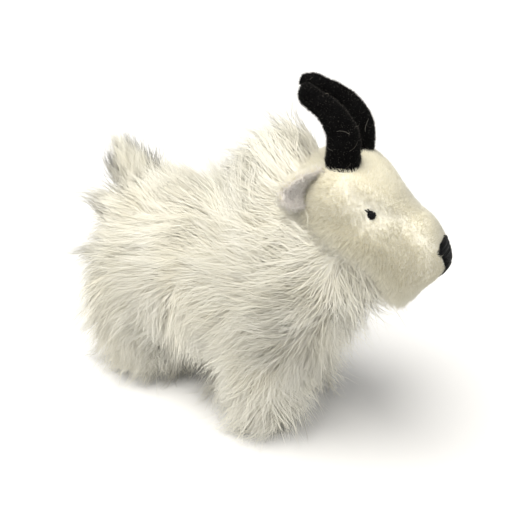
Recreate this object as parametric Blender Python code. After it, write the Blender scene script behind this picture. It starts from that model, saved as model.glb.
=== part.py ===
"""A small stuffed mountain goat that stands on four short legs.

The body, neck and legs have a long-pile coat. The head is short-pile plush with felt horns, folded
ears, and eyes and a nose stitched in black thread. Everything is sewn together, so nothing moves.

Places are worked out in millimetres and turned into metres when a mesh is made. +Z is up, the goat
faces +X and its right side is at -Y. The origin is on the floor under the middle of its bounding box.
"""

import bisect
import math
import random

import bmesh
import bpy
from mathutils import Matrix, Vector
from mathutils.bvhtree import BVHTree

MM = 0.001

# The side view's x is measured from under the withers, and the bounding box's middle is this far from there.
MIDDLE_X = -5.7

# How far the coat's tips stand out from the sewn skin, and the gap that touching pieces keep.
COAT_DEPTH = 13.0
COAT_AT_FACE = 0.3
FACE_FRINGE = 16.0
COAT_AT_SOLE = 0.1
FOOT_FRINGE = 11.0
COAT_HANGS = 8.0
TAIL_COAT = 8.0

# The locks stand on a core that takes this share of the coat's depth. Each is a flat, tapered blade.
CORE_SHARE = 0.45
LOCK_SPACING = 13.5
LOCK_LENGTH = 28.0
LOCK_WIDTH = 13.0
LOCK_THICK = 2.4
LOCK_SINK = 3.4
LOCK_TIP_CLEAR = 0.8
LOCK_BENDS_FROM = 6.0
LOCK_SHAPE = ((0.0, 0.8, 1.0), (0.38, 1.0, 0.9), (0.72, 0.62, 0.7))
LOCK_TRIES = 9000
SEED = 19
GAP = 0.3

# The sewn skin, as sections across the body: x, centre z, half height, half width.
TORSO = (
    (-76, 71, 8, 8),
    (-74, 70, 17, 14),
    (-68, 68, 27, 21),
    (-58, 65, 34, 26),
    (-40, 64, 37, 29),
    (-14, 61.5, 35, 30),
    (10, 60, 34, 29),
    (24, 59, 30, 26),
    (33, 58, 22, 20),
    (38, 58, 12, 12),
    (40, 58, 5, 5),
)

# Sections across the neck: x and z at the nape, x and z at the throat, half width. The nape is the narrower.
NECK = (
    (-18, 86, 26, 36, 26),
    (-10, 99, 35, 46, 29),
    (-3, 109, 41, 57, 29.5),
    (5, 118.5, 46, 68, 28),
    (14, 127.5, 52.5, 76, 25.5),
    (22, 131, 57, 82, 21),
    (30, 129, 57, 91, 15),
)
NAPE_NARROWS = 0.26

# Sections across the head: x, top z, bottom z, half width. It is turned a little to the goat's left.
HEAD = (
    (18, 120, 104, 8),
    (22, 126.5, 98, 14),
    (30, 131, 90, 20),
    (40, 132.4, 82, 23.5),
    (48, 131.7, 77.5, 24.4),
    (54, 128.7, 75.5, 23.7),
    (59, 124.2, 75.9, 22),
    (63.5, 119.6, 76.9, 20),
    (68.5, 115.4, 79.3, 17.7),
    (73, 112.6, 82.3, 15.7),
    (76.5, 109.5, 85.4, 14.2),
    (79.5, 105.3, 88.5, 11.9),
    (82, 101, 92, 8.2),
    (83.3, 97.9, 93.9, 4.5),
)
HEAD_TURN = 8.0
HEAD_TURNS_AT = (30.0, 0.0)

# Legs: sections from the floor up, as z, half length, half width.
HIND_LEG = ((0, 8, 7), (2, 10, 9), (7, 12, 10.5), (16, 13.5, 11.5), (30, 17, 12.5), (48, 20, 13), (60, 15, 10))
FRONT_LEG = ((0, 9, 7), (2, 11, 9), (7, 12.5, 10.5), (16, 13.5, 11), (30, 14, 12), (48, 15, 12.5), (58, 11, 9))
HIND_LEG_X = -61.0
FRONT_LEG_X = 14.5
LEG_Y = 16.0

# The parting cuts, as points (x, z) in the side view. The head's follows the edge of its short pile, and
# turns with the head.
NECK_CUT = ((-60, 180), (-14, 110), (42, 44), (90, -20))
HEAD_CUT = (
    (20, 200),
    (30, 150),
    (31, 134),
    (28, 127),
    (24.5, 119),
    (30, 113.5),
    (38, 110.1),
    (47.5, 108),
    (53, 105.5),
    (58, 101),
    (62.5, 96.5),
    (65.5, 91),
    (67.5, 80),
    (70, 60),
    (110, -40),
)
CUT_SHIFT = (0.14, 0.10)

# The space of each leg: from x, to x, its top at the middle of the goat, and its top LEG_CUT_OUT further out.
HIND_LEG_SPACE = (-120.0, -38.0, 18.0, 40.0)
FRONT_LEG_SPACE = (-12.0, 90.0, 18.0, 38.0)
LEG_CUT_OUT = 45.0

# The space of the tail: a side-view outline, and how far it reaches to each side.
TAIL_SPACE = ((-52, 170), (-56, 104), (-66, 95), (-78, 88), (-96, 90), (-140, 110))
TAIL_REACH = 15.0

# One horn: side-view centre line, half thickness across it, half width, and how far it stands from the middle.
HORN = (
    (41.0, 124, 6.9, 5.8, 8.8),
    (41.7, 130.5, 6.3, 5.3, 9.4),
    (41.4, 140, 5.8, 4.9, 9.8),
    (38.3, 146, 5.0, 4.2, 10.1),
    (34.0, 150.1, 4.3, 3.6, 10.2),
    (28.1, 153, 3.7, 3.1, 9.8),
    (23.8, 154.8, 3.6, 3.0, 9.1),
    (20.9, 155.7, 1.9, 1.6, 8.5),
)

# How much further back the left horn's tip reaches than this, and the right one's falls short.
HORN_UNEVEN = 3.3

# One ear: a short cupped leaf. Its root runs along a line on the side of the head, from high to low.
EAR_HIGH = (35.0, 13.6, 129.0)
EAR_LOW = (30.8, 19.6, 114.0)
EAR_OUT = (-0.28, 0.95, -0.10)
EAR_LENGTH = 12.0
EAR_ROOT_DEPTH = 4.0
EAR_THICK = 2.2
EAR_CUP = 3.2

EYE_AT = (56.8, 117.7)
EYE_RADIUS = 2.0
EYE_STANDS_OUT = 1.1
NOSE_THREAD = 0.9

# Half of the nose's outline, as y and z: wide above the lips, narrow at the chin.
NOSE_OUTLINE = ((0, 104.6), (4.5, 104.4), (8.4, 103.0), (6.6, 98.5), (4.4, 94), (3.4, 90))

# The tail: a stub that stands up from the rump, as x, z, half thickness.
TAIL = ((-62, 86, 7), (-67, 93, 7.5), (-72, 100, 7), (-76, 105, 5), (-78, 108, 2.5))

COLOURS = {
    "long_pile": (0.83, 0.81, 0.72),
    "short_pile": (0.86, 0.83, 0.74),
    "felt": (0.012, 0.012, 0.013),
    "thread": (0.008, 0.008, 0.009),
}
ROUGHNESS = 0.9


def smooth(stations, steps):
    """The stations with steps - 1 more between each two, along a curve through them all."""
    made = []
    last = len(stations) - 1
    for i in range(last):
        before, start = stations[max(i - 1, 0)], stations[i]
        end, after = stations[i + 1], stations[min(i + 2, last)]
        for k in range(steps):
            t = k / steps
            made.append(
                tuple(
                    0.5 * (2 * b + (c - a) * t + (2 * a - 5 * b + 4 * c - d) * t**2 + (3 * b - a - 3 * c + d) * t**3)
                    for a, b, c, d in zip(before, start, end, after)
                )
            )
    return made + [tuple(stations[-1])]


def material(slot):
    """The Principled material of a slot, made once."""
    made = bpy.data.materials.get(slot)
    if made is None:
        made = bpy.data.materials.new(slot)
        made.use_nodes = True
        shader = made.node_tree.nodes["Principled BSDF"]
        shader.inputs["Base Color"].default_value = (*COLOURS[slot], 1)
        shader.inputs["Roughness"].default_value = ROUGHNESS
        shader.inputs["Metallic"].default_value = 0
    return made


def add_object(name, mesh, slot=None):
    """A mesh as an object of the scene, smooth with sharp edges kept."""
    made = bpy.data.objects.new(name, mesh)
    bpy.context.scene.collection.objects.link(made)
    mesh.materials.clear()
    if slot:
        mesh.materials.append(material(slot))
    return made


def in_metres(p):
    """A place in side-view millimetres, as a place of the scene."""
    return Vector((p[0] - MIDDLE_X, p[1], p[2])) * MM


def in_millimetres(p):
    """A place of the scene, in side-view millimetres."""
    return Vector((p[0] / MM + MIDDLE_X, p[1] / MM, p[2] / MM))


def mesh_of(name, points, faces):
    """A closed mesh from points in side-view millimetres, with its faces turned outwards."""
    built = bmesh.new()
    corners = [built.verts.new(in_metres(p)) for p in points]
    for face in faces:
        built.faces.new([corners[i] for i in face])
    bmesh.ops.recalc_face_normals(built, faces=built.faces)
    bmesh.ops.triangulate(built, faces=built.faces)
    mesh = bpy.data.meshes.new(name)
    built.to_mesh(mesh)
    built.free()
    return mesh


def skinned(name, rings):
    """A closed mesh over rings of points, each end closed by a fan to its ring's middle."""
    count = len(rings[0])
    points = [p for ring in rings for p in ring]
    faces = []
    for r in range(len(rings) - 1):
        for k in range(count):
            a, b = r * count + k, r * count + (k + 1) % count
            faces.append((a, b, b + count, a + count))
    for ring, start in ((rings[0], 0), (rings[-1], (len(rings) - 1) * count)):
        middle = len(points)
        points.append(sum((Vector(p) for p in ring), Vector()) / count)
        faces += [(start + k, start + (k + 1) % count, middle) for k in range(count)]
    return mesh_of(name, points, faces)


def ring(centre, across, up, half_width, half_height, corners, power=2.0):
    """Points of a rounded section round centre: power 2 is an ellipse, more is squarer."""
    made = []
    for k in range(corners):
        turn = 2 * math.pi * k / corners
        c, s = math.cos(turn), math.sin(turn)
        x = math.copysign(abs(c) ** (2 / power), c) * half_width
        y = math.copysign(abs(s) ** (2 / power), s) * half_height
        made.append(Vector(centre) + Vector(across) * x + Vector(up) * y)
    return made


def ease(value):
    """0 below 0, 1 above 1 and a smooth rise between."""
    value = min(max(value, 0.0), 1.0)
    return value * value * (3 - 2 * value)


def behind(cut, point):
    """How far a point is behind a parting cut, and less than nothing in front of it."""
    place = Vector((point[0], point[2]))
    nearest, side = 1e9, 1
    for (x0, z0), (x1, z1) in zip(cut, cut[1:]):
        start, line = Vector((x0, z0)), Vector((x1 - x0, z1 - z0))
        along = min(max((place - start).dot(line) / line.dot(line), 0), 1)
        away = (place - start - line * along).length
        if away < nearest:
            nearest = away
            side = 1 if (place - start).cross(line) > 0 else -1
    return nearest * side


def behind_face(point):
    """How far a point is behind the edge of the head's short pile."""
    about = Vector((*HEAD_TURNS_AT, 0))
    straight = about + Matrix.Rotation(math.radians(-HEAD_TURN), 3, "Z") @ (Vector(point) - about)
    return behind(HEAD_CUT, straight)


def coat_depth(point, outwards):
    """How far the coat's tips stand out from the skin at a point."""
    crest = ease((outwards[2] - 0.35) / 0.5) * ease((point[0] + 20) / 30) * ease((point[2] - 100) / 20)
    crest *= 1 - 0.6 * ease((point[0] - 16) / 12)
    from_face = ease(behind_face(point) / FACE_FRINGE)
    share = COAT_AT_FACE + (1 - COAT_AT_FACE) * max(from_face, crest)
    low = ease((point[2] + 1) / FOOT_FRINGE)
    return COAT_DEPTH * share * (1 + 0.45 * crest) * (COAT_AT_SOLE + (1 - COAT_AT_SOLE) * low)


def grown(section, share):
    """A section with each point moved out from its middle by a share of the coat's depth there."""
    middle = sum((Vector(p) for p in section), Vector()) / len(section)
    made = []
    for p in section:
        outwards = (Vector(p) - middle).normalized()
        hang = ease(-outwards.z / 0.9) * ease((p[2] - 10) / 12) * COAT_HANGS
        made.append(Vector(p) + outwards * coat_depth(p, outwards) * share - Vector((0, 0, hang * share)))
    return made


def torso_rings(share, more=0.0, corners=22, steps=1):
    """Upright sections of the torso, out by a share of the coat and by a little more."""
    stations = smooth(TORSO, steps)
    first, last = stations[0][0], stations[-1][0]
    rings = []
    for x, z, high, wide in stations:
        along = ((x - first) / (last - first) * 2 - 1) ** 5 * (COAT_DEPTH * share + more)
        section = ring((x + along, 0, z), (0, 1, 0), (0, 0, 1), wide + more, high + more, corners, 2.15)
        rings.append(grown(section, share))
    return rings


def neck_rings(share, more=0.0, corners=22, steps=1):
    """Sections from the nape to the throat, wider towards the throat."""
    rings = []
    for nape_x, nape_z, throat_x, throat_z, wide in smooth(NECK, steps):
        nape, throat = Vector((nape_x, 0, nape_z)), Vector((throat_x, 0, throat_z))
        up = (nape - throat).normalized()
        deep = (nape - throat).length / 2
        section = ring((nape + throat) / 2, (0, 1, 0), up, wide + more, deep + more, corners, 2.1)
        for p in section:
            p.y *= 1 - NAPE_NARROWS * (p - (nape + throat) / 2).dot(up) / deep
        rings.append(grown(section, share))
    return rings


def turned(point):
    """A point of the straight head, turned with the head."""
    about = Vector((*HEAD_TURNS_AT, 0))
    return about + Matrix.Rotation(math.radians(HEAD_TURN), 3, "Z") @ (Vector(point) - about)


def head_rings(grow, corners=28, steps=2):
    """Upright sections of the head, narrower along the bridge than at the cheeks."""
    stations = smooth(HEAD, steps)
    first, last = stations[0][0], stations[-1][0]
    rings = []
    for x, top, bottom, wide in stations:
        along = (x - first) / (last - first) * 2 - 1
        section = ring(
            (x + grow * along**5, 0, (top + bottom) / 2),
            (0, 1, 0),
            (0, 0, 1),
            wide + grow,
            (top - bottom) / 2 + grow,
            corners,
            2.2,
        )
        rings.append([turned(p) for p in section])
    return rings


def leg_rings(sections, x, side, share, more=0.0, corners=16, steps=1):
    """Level sections of one leg, flat on the floor."""
    rings = []
    for z, long, wide in smooth(sections, steps):
        section = ring((x, side * LEG_Y, z), (1, 0, 0), (0, 1, 0), long + more, wide + more, corners, 2.3)
        rings.append(grown(section, share))
    return rings


def tail_rings(share, more=0.0, corners=10, steps=1):
    """Sections of the tail, square to its line."""
    stations = smooth(TAIL, steps)
    lean = Vector((TAIL[-1][0] - TAIL[0][0], 0, TAIL[-1][1] - TAIL[0][1])).normalized()
    across = Vector((0, 1, 0))
    out = TAIL_COAT * share + more
    last = len(stations) - 1
    return [
        ring(Vector((x, 0, z)) + lean * out * i / last, across, lean.cross(across), r + out, r + out, corners)
        for i, (x, z, r) in enumerate(stations)
    ]


def boolean(piece, others, operation):
    """Joins others to piece, or cuts piece by them, and removes them."""
    group = bpy.data.collections.new("operands")
    bpy.context.scene.collection.children.link(group)
    for other in others:
        group.objects.link(other)
    step = piece.modifiers.new("join", "BOOLEAN")
    step.operation = operation
    step.solver = "MANIFOLD"
    step.operand_type = "COLLECTION"
    step.collection = group
    graph = bpy.context.evaluated_depsgraph_get()
    made = bpy.data.meshes.new_from_object(piece.evaluated_get(graph))
    piece.modifiers.clear()
    piece.data = made
    for other in others:
        bpy.data.objects.remove(other)
    bpy.data.collections.remove(group)
    return piece


def keep_largest(piece):
    """Leaves only the largest closed surface of a piece."""
    built = bmesh.new()
    built.from_mesh(piece.data)
    built.faces.ensure_lookup_table()
    seen = set()
    islands = []
    for face in built.faces:
        if face.index in seen:
            continue
        island, waiting = [], [face]
        seen.add(face.index)
        while waiting:
            here = waiting.pop()
            island.append(here)
            for edge in here.edges:
                for near in edge.link_faces:
                    if near.index not in seen:
                        seen.add(near.index)
                        waiting.append(near)
        islands.append(island)
    islands.sort(key=lambda island: sum(f.calc_area() for f in island))
    for island in islands[:-1]:
        bmesh.ops.delete(built, geom=island, context="FACES")
    loose = [v for v in built.verts if not v.link_faces]
    bmesh.ops.delete(built, geom=loose, context="VERTS")
    built.to_mesh(piece.data)
    built.free()
    return piece


def finish(piece, slot):
    """One closed surface, shaded smooth but for its sharp edges, in its slot's material."""
    keep_largest(piece)
    piece.data.materials.clear()
    piece.data.materials.append(material(slot))
    piece.data.name = piece.name
    piece.data.shade_smooth()
    piece.data.set_sharp_from_angle(angle=math.radians(50))


def part_of(cut, forward, gap):
    """All the space in front of a parting cut, or behind it, from a little beyond the cut."""
    reach = 400.0 if forward else -400.0
    sign = 1 if forward else -1
    profile = [(x + CUT_SHIFT[0] * gap * sign, z + CUT_SHIFT[1] * gap * sign) for x, z in cut]
    profile += [(reach, profile[-1][1]), (reach, profile[0][1])]
    count = len(profile)
    points = [(x, y, z) for y in (-200, 200) for x, z in profile]
    if cut is HEAD_CUT:
        points = [turned(p) for p in points]
    faces = [tuple(range(count)), tuple(range(2 * count - 1, count - 1, -1))]
    faces += [(k, (k + 1) % count, (k + 1) % count + count, k + count) for k in range(count)]
    return add_object("space", mesh_of("space", points, faces))


def leg_block(hind, side, gap):
    """The space that one leg fills, grown by gap, which the torso and neck keep out of."""
    x0, x1, top, outer_top = HIND_LEG_SPACE if hind else FRONT_LEG_SPACE
    inner = GAP / 2 - gap
    rise = (outer_top - top) / LEG_CUT_OUT
    profile = ((inner, -20), (2 * LEG_CUT_OUT, -20), (2 * LEG_CUT_OUT, top + rise * 2 * LEG_CUT_OUT), (inner, top))
    points = []
    for x in (x0 - gap, x1 + gap):
        points += [(x, side * y, z + (gap if z > 0 else 0)) for y, z in profile]
    faces = ((0, 1, 2, 3), (4, 7, 6, 5), (0, 4, 5, 1), (1, 5, 6, 2), (2, 6, 7, 3), (3, 7, 4, 0))
    return add_object("leg_space", mesh_of("leg_space", points, faces))


def tail_block(gap):
    """The space that the tail fills, grown by gap, which the torso keeps out of."""
    middle = sum((Vector(p) for p in TAIL_SPACE), Vector((0, 0))) / len(TAIL_SPACE)
    profile = []
    for p in TAIL_SPACE:
        out = (Vector(p) - middle).normalized()
        profile.append((p[0] + out.x * gap * 1.6, p[1] + out.y * gap * 1.6))
    reach = TAIL_REACH + gap
    count = len(profile)
    points = [(x, y, z) for y in (-reach, reach) for x, z in profile]
    faces = [tuple(range(count)), tuple(range(2 * count - 1, count - 1, -1))]
    faces += [(k, (k + 1) % count, (k + 1) % count + count, k + count) for k in range(count)]
    return add_object("tail_space", mesh_of("tail_space", points, faces))


def whole_body(name, share, more=0.0):
    """The torso, neck and legs as one closed form."""
    body = add_object(name, skinned(name, torso_rings(share, more)))
    others = [add_object("neck_form", skinned("neck_form", neck_rings(share, more)))]
    at_face = COAT_DEPTH * COAT_AT_FACE * share + more
    others.append(add_object("nape_form", skinned("nape_form", head_rings(at_face, 24, 1))))
    others.append(add_object("tail_form", skinned("tail_form", tail_rings(share, more))))
    for side in (-1, 1):
        for sections, x in ((HIND_LEG, HIND_LEG_X), (FRONT_LEG, FRONT_LEG_X)):
            others.append(add_object("leg_form", skinned("leg_form", leg_rings(sections, x, side, share, more))))
    return keep_largest(boolean(body, others, "UNION"))


def copy_of(piece, name):
    """Another object with its own copy of the mesh."""
    return add_object(name, piece.data.copy())


def head_form(grow):
    """The head's own form, for cutting what is sewn to it."""
    return add_object("head_form", skinned("head_form", head_rings(grow)))


def lie(p):
    """The way the long pile points at a place: back and down over the body, up along the mane."""
    side = 1 if p.y > 0 else -1
    way = Vector((-1, 0.05 * side, -0.22))
    low = ease((66 - p.z) / 34)
    way = way.lerp(Vector((-0.42, 0.1 * side, -1)), low)
    back = ease((p.z - 84) / 14) * ease((-8 - p.x) / 12)
    way = way.lerp(Vector((-1, 0.1 * side, 0.3)), back)
    rump = ease((-58 - p.x) / 16)
    way = way.lerp(Vector((-0.7, 0.3 * side, (p.z - 72) / 26)), rump)
    mane = ease((p.z - 98) / 16) * ease((p.x + 14) / 12)
    way = way.lerp(Vector((-0.75, 0.1 * side, 0.8)), mane)
    chest = ease((p.x - 34) / 12) * ease((100 - p.z) / 14)
    way = way.lerp(Vector((0.25, 0.15 * side, -1)), chest)
    for leg_x in (HIND_LEG_X, FRONT_LEG_X):
        near = ease((24 - abs(p.x - leg_x)) / 12) * ease((46 - p.z) / 20)
        out = Vector(((p.x - leg_x) * 0.045, (p.y - side * LEG_Y) * 0.035, -1))
        way = way.lerp(out, near)
    return way.normalized()


def stand(p, outwards):
    """How far a lock's tip stands out from the core."""
    depth = coat_depth(p, outwards) * (1 - CORE_SHARE)
    edge = ease((p.z - 88) / 14) + ease((-60 - p.x) / 14)
    return depth * (1 + 0.45 * min(edge, 1))


class Core:
    """The core's surface, for setting locks on."""

    def __init__(self, piece):
        points = [in_millimetres(v.co) for v in piece.data.vertices]
        piece.data.calc_loop_triangles()
        self.faces = [tuple(t.vertices) for t in piece.data.loop_triangles]
        self.points = points
        self.tree = BVHTree.FromPolygons(points, self.faces)
        self.areas = []
        total = 0.0
        for a, b, c in self.faces:
            total += (points[b] - points[a]).cross(points[c] - points[a]).length / 2
            self.areas.append(total)

    def pick(self, dice):
        """A random place on the surface, even by area, and the way it faces."""
        at = bisect.bisect(self.areas, dice.random() * self.areas[-1])
        a, b, c = (self.points[i] for i in self.faces[min(at, len(self.faces) - 1)])
        u, v = dice.random(), dice.random()
        if u + v > 1:
            u, v = 1 - u, 1 - v
        return a + (b - a) * u + (c - a) * v, (b - a).cross(c - a).normalized()

    def below(self, p):
        """The nearest place on the surface, and the way it faces."""
        spot, facing, _, _ = self.tree.find_nearest(p)
        return spot, facing


def lock_roots(core, dice):
    """Places for locks, spread evenly over the coat and closer together on the legs, mane and tail."""
    roots = []
    for _ in range(LOCK_TRIES):
        spot, facing = core.pick(dice)
        if spot.z < 5 or facing.z < -0.75 or behind_face(spot) < 3.5:
            continue
        small = spot.z < 30 or spot.x < -74 or (spot.z > 112 and spot.x > -10)
        near = LOCK_SPACING * (0.8 if small else 1.0)
        if all((spot - other).length > near for other, _, _ in roots):
            roots.append((spot, facing, 0.8 if small else 1.0))
    return roots


def lock_path(core, spot, facing, length, dice):
    """The middle line of a lock: out of the core, along the coat's lie and up to its tip."""
    height = stand(spot, facing) * dice.uniform(0.85, 1.25)
    sway = dice.uniform(-0.55, 0.55)
    loose = 1 - 0.45 * ease((spot.z - 98) / 16) - 0.35 * ease((-64 - spot.x) / 14)
    on_leg = max(ease((20 - abs(spot.x - leg_x)) / 8) for leg_x in (HIND_LEG_X, FRONT_LEG_X))
    hang = 0.9 * ease((42 - spot.z) / 14) * (1 - on_leg)
    loose *= 1 - hang
    pieces = 8
    place = spot - facing * LOCK_SINK
    line = [(place.copy(), facing)]
    for i in range(1, pieces + 1):
        t = i / pieces
        ground, up = core.below(place)
        way = lie(ground)
        way = way + up.cross(way) * sway * math.sin(math.pi * t)
        off = way.dot(up)
        way = way - up * off * (1 - hang if off > 0 else 1)
        if way.length < 0.2:
            way = way + Vector((-0.3, 0, -0.3))
        place = place + way.normalized() * (length / pieces)
        ground, up = core.below(place)
        away = (place - ground).length * (1 if (place - ground).dot(up) > 0 else -1)
        want = -LOCK_SINK + (height + LOCK_SINK) * t**0.8
        place = place + up * (want - away) * (1 if t < 0.3 else loose)
        line.append((place.copy(), up))
    return line


def lock(core, spot, facing, size, dice):
    """One flat, tapered lock as a closed form of four-sided sections that end in a point."""
    length = LOCK_LENGTH * size * dice.uniform(0.85, 1.15)
    length *= 0.55 + 0.45 * ease(behind_face(spot) / FACE_FRINGE)
    length *= 1 + 0.4 * ease((42 - spot.z) / 14) * ease((14 - abs(spot.x + 26)) / 8)
    wide = LOCK_WIDTH * size * dice.uniform(0.85, 1.15)
    line = lock_path(core, spot, facing, length, dice)
    last = len(line) - 1
    points = []
    for t, breadth, thickness in LOCK_SHAPE:
        at = min(int(round(t * last)), last - 1)
        here, up = line[at]
        along = (line[at + 1][0] - line[max(at - 1, 0)][0]).normalized()
        across = along.cross(up).normalized() * wide * breadth / 2
        over = across.cross(along).normalized() * LOCK_THICK * thickness / 2
        points += [here + across, here + over, here - across, here - over]
    points.append(line[last][0])
    room = LOCK_BENDS_FROM - LOCK_TIP_CLEAR
    for p in points:
        if p.z < LOCK_BENDS_FROM:
            p.z = LOCK_TIP_CLEAR + room * math.exp((p.z - LOCK_BENDS_FROM) / room)
    faces = [(0, 1, 2, 3)]
    for r in range(len(LOCK_SHAPE) - 1):
        for k in range(4):
            a, b = r * 4 + k, r * 4 + (k + 1) % 4
            faces.append((a, b, b + 4, a + 4))
    end = (len(LOCK_SHAPE) - 1) * 4
    faces += [(end + k, end + (k + 1) % 4, len(points) - 1) for k in range(4)]
    return add_object("lock", mesh_of("lock", points, faces))


def with_locks(body):
    """The core with every lock of the long pile fused to it."""
    dice = random.Random(SEED)
    core = Core(body)
    locks = [lock(core, spot, facing, size, dice) for spot, facing, size in lock_roots(core, dice)]
    return keep_largest(boolean(body, locks, "UNION"))


def build_body(body):
    """Parts the whole body into torso, neck, tail and four legs."""
    torso = copy_of(body, "torso")
    cutters = [part_of(NECK_CUT, True, -1), tail_block(GAP)]
    cutters += [leg_block(hind, side, GAP) for hind in (True, False) for side in (-1, 1)]
    finish(boolean(torso, cutters, "DIFFERENCE"), "long_pile")

    neck = copy_of(body, "neck")
    cutters = [part_of(NECK_CUT, False, -1), part_of(HEAD_CUT, True, -1)]
    cutters += [leg_block(False, side, GAP) for side in (-1, 1)]
    finish(boolean(neck, cutters, "DIFFERENCE"), "long_pile")

    tail = copy_of(body, "tail")
    finish(boolean(tail, [tail_block(0)], "INTERSECT"), "long_pile")

    for hind in (True, False):
        for side, word in ((-1, "right"), (1, "left")):
            leg = copy_of(body, f"leg_{'hind' if hind else 'front'}_{word}")
            finish(boolean(leg, [leg_block(hind, side, 0)], "INTERSECT"), "long_pile")


def build_head():
    """The head, cut square where it meets the neck."""
    head = add_object("head", skinned("head", head_rings(0)))
    finish(boolean(head, [part_of(HEAD_CUT, False, -1)], "DIFFERENCE"), "short_pile")


def horn_rings(side, more=0.0):
    """Sections of a horn, square to its line, where it stands on the turned head."""
    stations = smooth(HORN, 2)
    rings = []
    last = len(stations) - 1
    for i, (x, z, deep, wide, out) in enumerate(stations):
        before, after = stations[max(i - 1, 0)], stations[min(i + 1, last)]
        along = Vector((after[0] - before[0], 0, after[1] - before[1])).normalized()
        across = Vector((0, 1, 0))
        back = -side * HORN_UNEVEN * (i / last) ** 2
        section = ring((x + back, side * out, z), across, along.cross(across), wide + more, deep + more, 16, 2.1)
        rings.append([turned(p) for p in section])
    return rings


def build_horn(side, name):
    """A horn that curves back, its root cut to sit on the head."""
    horn = add_object(name, skinned(name, horn_rings(side)))
    finish(boolean(horn, [head_form(GAP)], "DIFFERENCE"), "felt")


def ear_form(side, name, more=0.0):
    """A leaf-shaped ear, hollow towards the front, as a closed form."""
    high = Vector((EAR_HIGH[0], side * EAR_HIGH[1], EAR_HIGH[2]))
    low = Vector((EAR_LOW[0], side * EAR_LOW[1], EAR_LOW[2]))
    out = Vector((EAR_OUT[0], side * EAR_OUT[1], EAR_OUT[2])).normalized()
    across = (high - low) / 2
    back = (out.cross(across) * -side).normalized()
    if back.x > 0:
        back = -back
    steps, columns = 8, 8
    front_side, back_side = [], []
    for i in range(steps + 1):
        t = i / steps
        narrow = math.sqrt(1 - (0.94 * t) ** 2.3)
        reach = -EAR_ROOT_DEPTH + (EAR_LENGTH + EAR_ROOT_DEPTH + more) * t
        for k in range(columns + 1):
            s = k / columns * 2 - 1
            cup = EAR_CUP * (1 - s * s) * (1 - 0.35 * t)
            thick = EAR_THICK * (1 - 0.4 * abs(s) ** 3) * (1 - 0.25 * t) + 2 * more
            place = (high + low) / 2 + out * reach + across * s * (narrow + more / across.length) + back * cup
            front_side.append(place - back * thick / 2)
            back_side.append(place + back * thick / 2)
    points = front_side + back_side
    row, shift = columns + 1, (steps + 1) * (columns + 1)
    faces = []
    for i in range(steps):
        for k in range(columns):
            a = i * row + k
            faces.append((a, a + 1, a + 1 + row, a + row))
            faces.append(tuple(shift + v for v in (a, a + row, a + 1 + row, a + 1)))
        for a in (i * row, i * row + columns):
            faces.append((a, a + row, a + row + shift, a + shift))
    for start in (0, steps * row):
        faces += [(start + k, start + k + 1, start + k + 1 + shift, start + k + shift) for k in range(columns)]
    return add_object(name, mesh_of(name, [turned(p) for p in points], faces))


def build_ear(side, name):
    """An ear, cut to sit on the head."""
    finish(boolean(ear_form(side, name), [head_form(GAP)], "DIFFERENCE"), "short_pile")


def build_eye(side, name):
    """A knot of black thread on the side of the head."""
    x, z = EYE_AT
    start = turned((x, side * 60, z))
    inwards = turned((x, 0, z)) - start
    head = head_form(0)
    surface = BVHTree.FromObject(head, bpy.context.evaluated_depsgraph_get())
    hit, normal, _, _ = surface.ray_cast(in_metres(start), inwards.normalized())
    bpy.data.objects.remove(head)
    hit = in_millimetres(hit)
    across = normal.cross(Vector((0, 0, 1))).normalized()
    up = across.cross(normal)
    rings = []
    for height, share in ((-2.0, 0.8), (0.3, 1.0), (0.7, 0.85), (EYE_STANDS_OUT, 0.45)):
        rings.append(ring(hit + normal * height, across, up, EYE_RADIUS * share, EYE_RADIUS * share, 12))
    eye = add_object(name, skinned(name, rings))
    finish(boolean(eye, [head_form(GAP)], "DIFFERENCE"), "thread")


def build_nose():
    """Satin stitches over the tip of the muzzle."""
    outline = [(-y, z) for y, z in NOSE_OUTLINE[:0:-1]] + list(NOSE_OUTLINE)
    points = [(x, y, z) for x in (72.0, 100.0) for y, z in outline]
    count = len(outline)
    faces = [tuple(range(count)), tuple(range(2 * count - 1, count - 1, -1))]
    faces += [(k, (k + 1) % count, (k + 1) % count + count, k + count) for k in range(count)]
    prism = add_object("nose_outline", mesh_of("nose_outline", [turned(p) for p in points], faces))
    nose = add_object("nose", skinned("nose", head_rings(GAP + NOSE_THREAD)))
    boolean(nose, [prism], "INTERSECT")
    finish(boolean(nose, [head_form(GAP)], "DIFFERENCE"), "thread")


def main():
    for old in list(bpy.data.objects):
        bpy.data.objects.remove(old)
    body = with_locks(whole_body("body_form", CORE_SHARE))
    build_body(body)
    bpy.data.objects.remove(body)
    build_head()
    for side, word in ((-1, "right"), (1, "left")):
        build_horn(side, f"horn_{word}")
        build_ear(side, f"ear_{word}")
        build_eye(side, f"eye_{word}")
    build_nose()


main()
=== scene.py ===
"""The looks of the stuffed mountain goat: long white pile, short-pile face, felt horns, stitched features.

Places are in the millimetres of the part's side view, and become metres of the row's frame when a mesh
is made. +Z is up, the goat faces +X and its right side is at -Y.
"""

import itertools
import math

import bpy
import numpy as np
from mathutils import Matrix, Vector, kdtree, noise
from mathutils.bvhtree import BVHTree


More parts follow.
